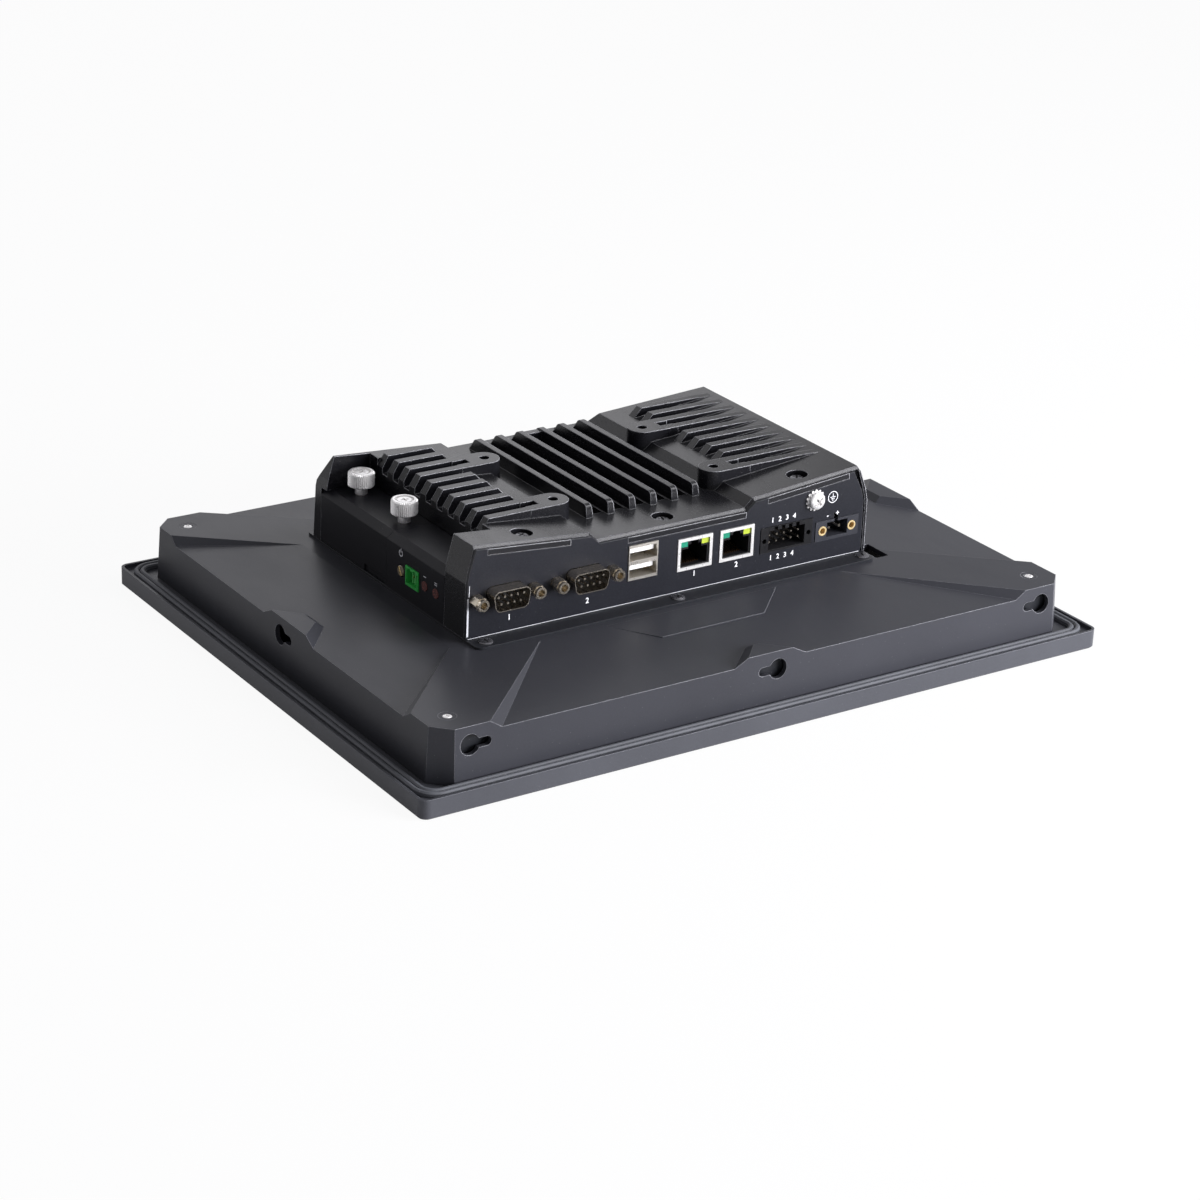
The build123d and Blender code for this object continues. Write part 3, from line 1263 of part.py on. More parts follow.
with BuildPart() as backlight_board:
    with BuildSketch(Plane.XY.offset(interface_z)):
        with Locations((-50.0, -60.0)):
            Rectangle(80.0, 28.0)
    extrude(amount=1.2)
    with BuildSketch(Plane.XY.offset(interface_z + 1.2)):
        with Locations((-62.0, -60.0), (-50.0, -60.0), (-38.0, -60.0)):
            Rectangle(7.0, 7.0)
    extrude(amount=3.2)

with BuildPart() as board_spacers:
    with BuildSketch(Plane.XY.offset(frame_z + frame_t)):
        with Locations(*spacer_spots, *driver_spots):
            RegularPolygon(2.4, 6)
    extrude(amount=interface_z - frame_z - frame_t)

# The pieces, one file each
pieces = {
    "front_bezel": front_bezel, "touch_glass": touch_glass, "display_panel": display_panel,
    "display_frame": display_frame, "panel_gasket": panel_gasket, "rear_cover": rear_cover,
    "rear_cover_screws": rear_cover_screws, "base_tray": base_tray,
    "flange_screws": flange_screws, "base_screws": base_screws, "heat_sink": heat_sink,
    "deck_screws": deck_screws, "io_plate": io_plate, "com_shells": com_shells,
    "com_mouldings": com_mouldings, "com_pins": com_pins, "com_jackscrews": com_jackscrews,
    "usb_shield": usb_shield, "usb_tongues": usb_tongues, "usb_contacts": usb_contacts,
    "lan_shields": lan_shields, "lan_mouldings": lan_mouldings, "lan_contacts": lan_contacts,
    "lan_green_lamps": lan_green_lamps, "lan_amber_lamps": lan_amber_lamps,
    "signal_header": signal_header, "signal_pins": signal_pins,
    "supply_header": supply_header, "supply_inserts": supply_inserts,
    "supply_pins": supply_pins, "star_washer": star_washer, "ground_screw": ground_screw,
    "side_panel": side_panel, "storage_cover": storage_cover,
    "storage_thumbscrews": storage_thumbscrews, "storage_bracket": storage_bracket,
    "storage_card": storage_card, "storage_socket": storage_socket,
    "main_board": main_board, "board_standoffs": board_standoffs,
    "board_screws": board_screws, "processor": processor, "thermal_pad": thermal_pad,
    "memory_socket": memory_socket, "memory_module": memory_module,
    "cell_holder": cell_holder, "coin_cell": coin_cell, "power_chokes": power_chokes,
    "capacitors": capacitors, "remote_terminal": remote_terminal,
    "remote_pins": remote_pins, "power_button": power_button,
    "power_switch": power_switch, "status_lamps": status_lamps,
    "lamp_holder": lamp_holder, "interface_board": interface_board,
    "docking_header": docking_header, "docking_receptacle": docking_receptacle,
    "backlight_board": backlight_board, "board_spacers": board_spacers,
}
for piece_name, piece in pieces.items():
    piece.part.label = piece_name
    export_step(piece.part, f"parts/{piece_name}.step")
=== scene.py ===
import json
import math

import bmesh
import bpy
from mathutils import Matrix, Vector


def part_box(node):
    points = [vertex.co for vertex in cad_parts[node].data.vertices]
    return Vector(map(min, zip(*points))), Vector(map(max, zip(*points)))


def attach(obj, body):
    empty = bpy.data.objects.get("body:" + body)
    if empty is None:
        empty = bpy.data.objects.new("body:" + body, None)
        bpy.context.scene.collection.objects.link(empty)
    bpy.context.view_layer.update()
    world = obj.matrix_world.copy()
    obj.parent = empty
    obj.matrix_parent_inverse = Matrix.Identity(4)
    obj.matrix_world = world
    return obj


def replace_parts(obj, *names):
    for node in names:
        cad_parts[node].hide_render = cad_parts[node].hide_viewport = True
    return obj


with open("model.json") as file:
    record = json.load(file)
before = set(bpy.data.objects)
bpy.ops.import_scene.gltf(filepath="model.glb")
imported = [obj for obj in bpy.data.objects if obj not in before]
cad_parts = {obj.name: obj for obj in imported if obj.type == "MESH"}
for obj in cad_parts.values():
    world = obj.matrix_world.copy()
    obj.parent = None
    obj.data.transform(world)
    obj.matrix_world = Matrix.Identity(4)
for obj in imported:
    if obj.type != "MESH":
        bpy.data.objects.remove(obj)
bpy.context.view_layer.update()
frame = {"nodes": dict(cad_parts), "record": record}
nodes = frame["nodes"]
mm = 0.001
print("frame loaded:", len(nodes), "nodes")

# Camera at the photograph's angle; lengths in metres, angles in degrees
cameraView = {
    "azimuth": -34.41, "elevation": 23.18, "roll": 2.39, "distance": 1.2608,
    "moveRight": -0.00133, "moveUp": 0.00582, "lens": 94.287, "sensor": 36.0,
    "nearest": 0.05, "farthest": 50.0,
}


def placeCamera(view):
    a, e = math.radians(view["azimuth"]), math.radians(view["elevation"])
    back = Vector((math.sin(a) * math.cos(e), -math.cos(a) * math.cos(e), math.sin(e)))
    level = (-back).cross(Vector((0, 0, 1))).normalized()
    upright = level.cross(-back)
    turn = math.radians(view["roll"])
    right = math.cos(turn) * level + math.sin(turn) * upright
    up = math.cos(turn) * upright - math.sin(turn) * level
    spot = back * view["distance"] + right * view["moveRight"] + up * view["moveUp"]
    data = bpy.data.cameras.new("photoCamera")
    data.lens, data.sensor_width, data.sensor_fit = view["lens"], view["sensor"], "HORIZONTAL"
    data.clip_start, data.clip_end = view["nearest"], view["farthest"]
    camera = bpy.data.objects.new("photoCamera", data)
    bpy.context.collection.objects.link(camera)
    pose = Matrix((right, up, back)).transposed().to_4x4()
    pose.translation = spot
    camera.matrix_world = pose
    bpy.context.scene.camera = camera


placeCamera(cameraView)


# One output of a node, with arithmetic that adds more nodes to its tree
class Signal:
    def __init__(self, maker, socket):
        self.maker = maker
        self.socket = socket

    def maths(self, operation, *values):
        return self.maker.node("ShaderNodeMath", {"operation": operation}, values)

    def __add__(self, other):
        return self.maths("ADD", self, other)

    def __sub__(self, other):
        return self.maths("SUBTRACT", self, other)

    def __rsub__(self, other):
        return self.maths("SUBTRACT", other, self)

    def __mul__(self, other):
        return self.maths("MULTIPLY", self, other)

    def __lt__(self, other):
        return self.maths("LESS_THAN", self, other)

    __radd__ = __add__

    def spread(self, low, high):  # low..high becomes 0..1, held at the ends
        return self.maker.node("ShaderNodeMapRange", {}, [self, low, high, 0.0, 1.0])


# Adds nodes to a tree; values are constants or signals, by place or by socket name
class NodeMaker:
    def __init__(self, tree):
        self.tree = tree
        self.tree.nodes.clear()

    def node(self, kind, settings=None, values=None, output=0):
        made = self.tree.nodes.new(kind)
        for name, setting in (settings or {}).items():
            setattr(made, name, setting)
        pairs = values.items() if isinstance(values, dict) else enumerate(values or [])
        for key, value in pairs:
            several = isinstance(value, list) and isinstance(value[0], Signal)
            for single in value if several else [value]:
                if isinstance(single, Signal):
                    self.tree.links.new(single.socket, made.inputs[key])
                else:
                    made.inputs[key].default_value = single
        return Signal(self, made.outputs[output]) if made.outputs else None


# Outer edges in a coat: turn of the softened normal, openness, reach of the test
edgeMask = {
    "turn": (0.02, 0.13), "open": (0.70, 0.90), "reach": 2.0 * mm,
    "bevelSamples": 6, "openSamples": 4,
}


# A material under construction
class Finish(NodeMaker):
    def __init__(self, name):
        self.material = bpy.data.materials.new(name)
        self.material.use_nodes = True
        super().__init__(self.material.node_tree)
        self.place = self.node("ShaderNodeTexCoord", output="Object")

    def noise(self, scale, detail, roughness, stretch=None):
        place = self.place
        if stretch:
            place = self.node("ShaderNodeVectorMath", {"operation": "MULTIPLY"}, [place, stretch])
        wanted = {"Vector": place, "Scale": scale, "Detail": detail, "Roughness": roughness}
        return self.node("ShaderNodeTexNoise", {}, wanted)

    def specks(self, scale, size):  # sparse round spots, 1 inside
        wanted = {"Vector": self.place, "Scale": scale}
        return self.node("ShaderNodeTexVoronoi", {}, wanted) < size

    def mix(self, factor, first, second):
        wanted = {0: factor, 6: first, 7: second}
        return self.node("ShaderNodeMix", {"data_type": "RGBA"}, wanted, output=2)

    def rounded(self, radius):  # normal of softened edges, and a mask of the outer edges
        samples = {"samples": edgeMask["bevelSamples"]}
        soft = self.node("ShaderNodeBevel", samples, {"Radius": radius})
        flat = self.node("ShaderNodeNewGeometry", output="Normal")
        settings = {"operation": "DOT_PRODUCT"}
        match = self.node("ShaderNodeVectorMath", settings, [soft, flat], "Value")
        samples = {"samples": edgeMask["openSamples"]}
        distance = {"Distance": edgeMask["reach"]}
        openness = self.node("ShaderNodeAmbientOcclusion", samples, distance, "AO")
        return soft, (1.0 - match).spread(*edgeMask["turn"]) * openness.spread(*edgeMask["open"])

    def bump(self, height, depth, normal=None):
        wanted = {"Strength": 1.0, "Distance": depth, "Height": height}
        if normal:
            wanted["Normal"] = normal
        return self.node("ShaderNodeBump", {}, wanted)

    def close(self, **values):
        names = {
            "colour": "Base Color", "roughness": "Roughness", "metallic": "Metallic",
            "normal": "Normal", "coat": "Coat Weight", "coatRoughness": "Coat Roughness",
            "specular": "Specular IOR Level", "emission": "Emission Color",
            "emissionStrength": "Emission Strength",
        }
        wanted = {names[key]: value for key, value in values.items()}
        shader = self.node("ShaderNodeBsdfPrincipled", {}, wanted)
        self.node("ShaderNodeOutputMaterial", {}, {"Surface": shader})
        return self.material


# A colour made lighter or darker, with full opacity
def tint(colour, factor):
    return [min(1.0, channel * factor) for channel in colour[:3]] + [1.0]


# Powder coat: soft clouds of tone, a fine grain, dust specks, and outer edges lightened as worn
# edges and as a painted highlight
def powderCoat(name, look):
    finish = Finish(name)
    clouds = finish.noise(look["cloudScale"], detail=4.0, roughness=0.6).spread(0.3, 0.7)
    grain = finish.noise(look["grainScale"], detail=3.0, roughness=0.6)
    coarse = finish.noise(look["grainScale"] * 0.28, detail=2.0, roughness=0.5)
    smears = finish.noise(38.0, detail=5.0, roughness=0.7, stretch=(1.0, 0.35, 1.0))
    smears = smears.spread(0.45, 0.75)
    dust = finish.specks(scale=420.0, size=0.055)
    soft, edge = finish.rounded(look["edgeRadius"])
    patches = finish.noise(260.0, detail=4.0, roughness=0.7).spread(0.30, 0.70)
    # outer edges lightened in patches: partly worn edges, partly a painted highlight along the
    # rounded edges
    wornEdgeAndHighlight = edge * (patches * 0.5 + 0.5)
    base = finish.mix(clouds, tint(look["colour"], 0.88), tint(look["colour"], 1.12))
    base = finish.mix(grain.spread(0.35, 0.75) * look["grainTone"], base, tint(look["colour"], 1.9))
    base = finish.mix(wornEdgeAndHighlight * look["edgeWear"], base, look["edgeColour"])
    base = finish.mix(dust * 0.25, base, [0.30, 0.30, 0.30, 1.0])
    rough = look["roughness"] + (clouds - 0.5) * 0.05 + smears * 0.06 + (grain - 0.5) * 0.12
    rough = rough - edge * 0.10
    height = grain * 0.9 + coarse * 0.25
    return finish.close(
        colour=base, roughness=rough, specular=look["specular"],
        normal=finish.bump(height, look["grainDepth"], soft),
    )


# Plated or bare metal: fine brushing, tarnish clouds, and rubbed edges that are smoother and
# lighter, the lighter colour a painted highlight
def platedMetal(name, look):
    finish = Finish(name)
    along = look["brushAlong"]
    brush = finish.noise(look["brushScale"], detail=3.0, roughness=0.6, stretch=along)
    tarnish = finish.noise(look["tarnishScale"], detail=5.0, roughness=0.65).spread(0.35, 0.72)
    pits = finish.specks(scale=2600.0, size=0.10)
    base = finish.mix(tarnish * look["tarnish"], tint(look["colour"], 1.0), look["tarnishColour"])
    rough = look["roughness"] + tarnish * 0.10 + (brush - 0.5) * 0.10
    soft = None
    if look["edgeRadius"]:
        soft, edge = finish.rounded(look["edgeRadius"])
        # outer edges tinted lighter: a painted highlight
        base = finish.mix(edge * 0.5, base, tint(look["colour"], 1.25))
        rough = rough - edge * 0.05
    base = finish.mix(pits * 0.15, base, tint(look["colour"], 0.6))
    return finish.close(
        colour=base, metallic=look["metallic"], roughness=rough,
        normal=finish.bump(brush, look["brushDepth"], soft),
    )


# Moulded plastic: faint flow marks, fine spark-eroded grain and softened edges
def mouldedPlastic(name, look):
    finish = Finish(name)
    flow = finish.noise(90.0, detail=4.0, roughness=0.6, stretch=(1.0, 1.0, 0.4))
    flow = flow.spread(0.3, 0.7)
    grain = finish.noise(look["grainScale"], detail=2.0, roughness=0.5)
    soft, edge = finish.rounded(look["edgeRadius"])
    base = finish.mix(flow, tint(look["colour"], 0.90), tint(look["colour"], 1.10))
    # outer edges tinted lighter: a painted highlight
    base = finish.mix(edge * 0.35, base, tint(look["colour"], 1.6))
    rough = look["roughness"] + (flow - 0.5) * 0.08 + (grain - 0.5) * 0.15
    return finish.close(
        colour=base, roughness=rough, specular=look["specular"],
        normal=finish.bump(grain, look["grainDepth"], soft),
    )


# Tinted lamp or button: glossy skin over a cloudy body, with an optional faint glow
def lampPlastic(name, look):
    finish = Finish(name)
    clouds = finish.noise(900.0, detail=4.0, roughness=0.6).spread(0.3, 0.7)
    scratches = finish.noise(2400.0, detail=2.0, roughness=0.5, stretch=(1.0, 0.1, 1.0))
    soft, edge = finish.rounded(look["edgeRadius"])
    base = finish.mix(clouds, tint(look["colour"], 0.8), tint(look["colour"], 1.15))
    # outer edges tinted lighter: a painted highlight
    base = finish.mix(edge * 0.4, base, tint(look["colour"], 1.6))
    return finish.close(
        colour=base, roughness=look["roughness"] + (scratches - 0.5) * 0.1,
        normal=finish.bump(scratches, look["scratchDepth"], soft), coat=0.4, coatRoughness=0.15,
        emission=base, emissionStrength=look["glow"],
    )


# Sealing rubber: dusty bloom, faint lengthwise draw lines
def sealRubber(name, look):
    finish = Finish(name)
    bloom = finish.noise(55.0, detail=5.0, roughness=0.7).spread(0.35, 0.7)
    grain = finish.noise(1900.0, detail=3.0, roughness=0.6)
    dust = finish.specks(scale=300.0, size=0.07)
    soft, edge = finish.rounded(look["edgeRadius"])
    base = finish.mix(bloom, tint(look["colour"], 0.82), tint(look["colour"], 1.18))
    base = finish.mix(dust * 0.35, base, [0.42, 0.42, 0.42, 1.0])
    # outer edges tinted lighter: a painted highlight
    base = finish.mix(edge * 0.2, base, tint(look["colour"], 1.5))
    return finish.close(
        colour=base, roughness=look["roughness"] + bloom * 0.08 + (grain - 0.5) * 0.1,
        specular=look["specular"], normal=finish.bump(grain, look["grainDepth"], soft),
    )


# Circuit board: solder mask over routed tracks, with vias
def circuitBoard(name, look):
    finish = Finish(name)
    weave = finish.noise(1500.0, detail=2.0, roughness=0.5)
    wanted = {
        "Vector": finish.place, "Color1": tint(look["colour"], 0.7),
        "Color2": tint(look["colour"], 1.25), "Mortar": tint(look["colour"], 1.9),
        "Scale": 160.0, "Mortar Size": 0.03,
    }
    tracks = finish.node("ShaderNodeTexBrick", {"offset": 0.5}, wanted)
    vias = finish.specks(scale=520.0, size=0.12)
    base = finish.mix(vias * 0.8, tracks, [0.55, 0.50, 0.32, 1.0])
    return finish.close(
        colour=base, roughness=0.34 + (weave - 0.5) * 0.15,
        normal=finish.bump(weave, look["weaveDepth"]),
    )


# Cover glass, dark as with the display off
def coverGlass(name, look):
    finish = Finish(name)
    smudge = finish.noise(30.0, detail=5.0, roughness=0.7).spread(0.45, 0.7)
    base = finish.mix(smudge, tint(look["colour"], 0.9), tint(look["colour"], 1.3))
    return finish.close(colour=base, roughness=0.05 + smudge * 0.1, coat=1.0, coatRoughness=0.03)


# Coat looks; their edge settings give the lighter outer edges, partly wear and partly a painted
# highlight
coatLooks = {
    "bezel_coat": {
        "colour": (0.056, 0.058, 0.066), "roughness": 0.38, "specular": 0.25, "cloudScale": 14.0,
        "grainScale": 2300.0, "grainTone": 0.14, "grainDepth": 0.009 * mm,
        "edgeRadius": 0.35 * mm, "edgeWear": 0.70, "edgeColour": (0.30, 0.305, 0.33, 1.0),
    },
    "cover_coat": {
        "colour": (0.034, 0.035, 0.041), "roughness": 0.36, "specular": 0.22, "cloudScale": 11.0,
        "grainScale": 2100.0, "grainTone": 0.14, "grainDepth": 0.009 * mm,
        "edgeRadius": 0.40 * mm, "edgeWear": 0.85, "edgeColour": (0.40, 0.405, 0.43, 1.0),
    },
    "casting_coat": {
        "colour": (0.0080, 0.0081, 0.0097), "roughness": 0.24, "specular": 0.34, "cloudScale": 17.0,
        "grainScale": 1800.0, "grainTone": 0.30, "grainDepth": 0.027 * mm,
        "edgeRadius": 0.55 * mm, "edgeWear": 0.95, "edgeColour": (0.52, 0.525, 0.55, 1.0),
    },
    "plate_coat": {
        "colour": (0.0110, 0.0115, 0.0145), "roughness": 0.36, "specular": 0.28, "cloudScale": 16.0,
        "grainScale": 2000.0, "grainTone": 0.80, "grainDepth": 0.024 * mm,
        "edgeRadius": 0.20 * mm, "edgeWear": 0.50, "edgeColour": (0.26, 0.265, 0.28, 1.0),
    },
    "side_coat": {
        "colour": (0.0105, 0.0105, 0.0130), "roughness": 0.42, "specular": 0.14, "cloudScale": 16.0,
        "grainScale": 2600.0, "grainTone": 0.30, "grainDepth": 0.010 * mm,
        "edgeRadius": 0.25 * mm, "edgeWear": 0.40, "edgeColour": (0.08, 0.08, 0.09, 1.0),
    },
    "tray_coat": {
        "colour": (0.016, 0.017, 0.020), "roughness": 0.40, "specular": 0.3, "cloudScale": 20.0,
        "grainScale": 2400.0, "grainTone": 0.20, "grainDepth": 0.010 * mm,
        "edgeRadius": 0.20 * mm, "edgeWear": 0.50, "edgeColour": (0.14, 0.14, 0.15, 1.0),
    },
}
brushedAcross, brushedUp, brushedNone = (1.0, 0.08, 1.0), (1.0, 1.0, 0.08), (1.0, 1.0, 1.0)
metalLooks = {
    "sheet_steel": {
        "colour": (0.56, 0.56, 0.55), "roughness": 0.34, "metallic": 1.0, "tarnish": 0.4,
        "tarnishColour": (0.40, 0.40, 0.39, 1.0), "tarnishScale": 60.0, "brushScale": 1400.0,
        "brushAlong": brushedAcross, "brushDepth": 0.006 * mm, "edgeRadius": 0.15 * mm,
    },
    "black_screw": {
        "colour": (0.150, 0.150, 0.162), "roughness": 0.22, "metallic": 0.75, "tarnish": 0.4,
        "tarnishColour": (0.16, 0.16, 0.17, 1.0), "tarnishScale": 700.0, "brushScale": 1800.0,
        "brushAlong": brushedNone, "brushDepth": 0.003 * mm, "edgeRadius": 0.0,
    },
    "bright_screw": {
        "colour": (0.95, 0.94, 0.93), "roughness": 0.27, "metallic": 0.55, "tarnish": 0.14,
        "tarnishColour": (0.56, 0.54, 0.50, 1.0), "tarnishScale": 300.0, "brushScale": 1600.0,
        "brushAlong": brushedNone, "brushDepth": 0.002 * mm, "edgeRadius": 0.0,
    },
    "shell_nickel": {
        "colour": (0.82, 0.75, 0.64), "roughness": 0.18, "metallic": 1.0, "tarnish": 0.35,
        "tarnishColour": (0.46, 0.38, 0.28, 1.0), "tarnishScale": 240.0, "brushScale": 1500.0,
        "brushAlong": brushedNone, "brushDepth": 0.002 * mm, "edgeRadius": 0.0,
    },
    "jack_shield": {
        "colour": (0.96, 0.95, 0.93), "roughness": 0.26, "metallic": 0.60, "tarnish": 0.15,
        "tarnishColour": (0.62, 0.61, 0.58, 1.0), "tarnishScale": 260.0, "brushScale": 1700.0,
        "brushAlong": brushedUp, "brushDepth": 0.002 * mm, "edgeRadius": 0.0,
    },
    "pin_metal": {
        "colour": (0.74, 0.67, 0.56), "roughness": 0.22, "metallic": 1.0, "tarnish": 0.3,
        "tarnishColour": (0.46, 0.39, 0.29, 1.0), "tarnishScale": 300.0, "brushScale": 1600.0,
        "brushAlong": brushedNone, "brushDepth": 0.002 * mm, "edgeRadius": 0.0,
    },
    "cream_metal": {
        "colour": (0.86, 0.82, 0.74), "roughness": 0.26, "metallic": 0.85, "tarnish": 0.25,
        "tarnishColour": (0.58, 0.52, 0.42, 1.0), "tarnishScale": 260.0, "brushScale": 1700.0,
        "brushAlong": brushedUp, "brushDepth": 0.002 * mm, "edgeRadius": 0.0,
    },
    "dark_gold": {
        "colour": (0.26, 0.15, 0.07), "roughness": 0.30, "metallic": 1.0, "tarnish": 0.5,
        "tarnishColour": (0.10, 0.06, 0.03, 1.0), "tarnishScale": 900.0, "brushScale": 2500.0,
        "brushAlong": brushedAcross, "brushDepth": 0.003 * mm, "edgeRadius": 0.0,
    },
    "contact_gold": {
        "colour": (0.83, 0.62, 0.27), "roughness": 0.20, "metallic": 1.0, "tarnish": 0.2,
        "tarnishColour": (0.60, 0.42, 0.18, 1.0), "tarnishScale": 900.0, "brushScale": 2500.0,
        "brushAlong": brushedAcross, "brushDepth": 0.003 * mm, "edgeRadius": 0.10 * mm,
    },
    "insert_brass": {
        "colour": (0.93, 0.72, 0.38), "roughness": 0.26, "metallic": 0.60, "tarnish": 0.2,
        "tarnishColour": (0.48, 0.34, 0.16, 1.0), "tarnishScale": 600.0, "brushScale": 2200.0,
        "brushAlong": brushedNone, "brushDepth": 0.004 * mm, "edgeRadius": 0.12 * mm,
    },
    "cell_steel": {
        "colour": (0.70, 0.70, 0.70), "roughness": 0.28, "metallic": 1.0, "tarnish": 0.2,
        "tarnishColour": (0.50, 0.50, 0.50, 1.0), "tarnishScale": 200.0, "brushScale": 1500.0,
        "brushAlong": brushedAcross, "brushDepth": 0.004 * mm, "edgeRadius": 0.20 * mm,
    },
}
plasticLooks = {
    "display_body": ((0.20, 0.21, 0.22), 0.5),
    "black_moulding": ((0.009, 0.009, 0.010), 0.42),
    "grey_moulding": ((0.030, 0.031, 0.037), 0.42),
    "white_moulding": ((0.78, 0.78, 0.76), 0.40),
    "green_moulding": ((0.035, 0.46, 0.075), 0.34),
    "pale_green": ((0.16, 0.68, 0.20), 0.34),
    "chip_black": ((0.025, 0.025, 0.028), 0.38),
    "thermal_grey": ((0.38, 0.40, 0.45), 0.60),
}
lampLooks = {
    "lamp_green": ((0.020, 0.22, 0.135), 0.20, 0.05),
    "lamp_amber": ((0.36, 0.44, 0.045), 0.20, 0.05),
    "lamp_red": ((0.120, 0.030, 0.024), 0.25, 0.0),
    "button_plastic": ((0.230, 0.185, 0.120), 0.25, 0.0),
}
finishes = {name: powderCoat(name, look) for name, look in coatLooks.items()}
finishes.update({name: platedMetal(name, look) for name, look in metalLooks.items()})
for name, (colour, roughness) in plasticLooks.items():
    finishes[name] = mouldedPlastic(name, {
        "colour": colour, "roughness": roughness, "specular": 0.4, "grainScale": 3200.0,
        "grainDepth": 0.006 * mm, "edgeRadius": 0.15 * mm,
    })
for name, (colour, roughness, glow) in lampLooks.items():
    finishes[name] = lampPlastic(name, {
        "colour": colour, "roughness": roughness, "glow": glow,
        "scratchDepth": 0.004 * mm, "edgeRadius": 0.15 * mm,
    })
rubberLook = {
    "colour": (0.105, 0.110, 0.122), "roughness": 0.50, "specular": 0.4,
    "grainDepth": 0.012 * mm, "edgeRadius": 0.3 * mm,
}
boardLook = {"colour": (0.012, 0.10, 0.05), "weaveDepth": 0.01 * mm}
finishes["gasket_rubber"] = sealRubber("gasket_rubber", rubberLook)
finishes["board_green"] = circuitBoard("board_green", boardLook)
finishes["screen_glass"] = coverGlass("screen_glass", {"colour": (0.012, 0.012, 0.014)})
slotOf = {part["node"]: part["material_slot"] for part in frame["record"]["subparts"]}
# Nodes whose metal looks older or duller than the others of their slot
dullerFinish = {
    "com_pins": "pin_metal", "signal_pins": "pin_metal", "supply_pins": "pin_metal",
    "com_jackscrews": "pin_metal", "usb_shield": "cream_metal", "lan_contacts": "dark_gold",
    "display_frame": "tray_coat", "display_panel": "chip_black",
}
for nodeName, piece in nodes.items():
    for place in piece.material_slots:
        place.material = finishes[dullerFinish.get(nodeName, slotOf[nodeName])]
print("finishes:", len(finishes))


# A new flat-shaded mesh piece that rides on a body
def addPiece(name, mesh, finish, body="housing"):
    mesh.name = name
    mesh.materials.clear()
    mesh.materials.append(finishes[finish])
    mesh.polygons.foreach_set("use_smooth", [False] * len(mesh.polygons))
    piece = bpy.data.objects.new(name, mesh)
    bpy.context.collection.objects.link(piece)
    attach(piece, body)
    return piece


# Sides of the round bars, and a cross recess as shares of its reach
barSides = {"shank": 24, "neck": 32, "bore": 40}
crossShape = {"length": 2.0, "width": 0.46, "depth": 1.1}


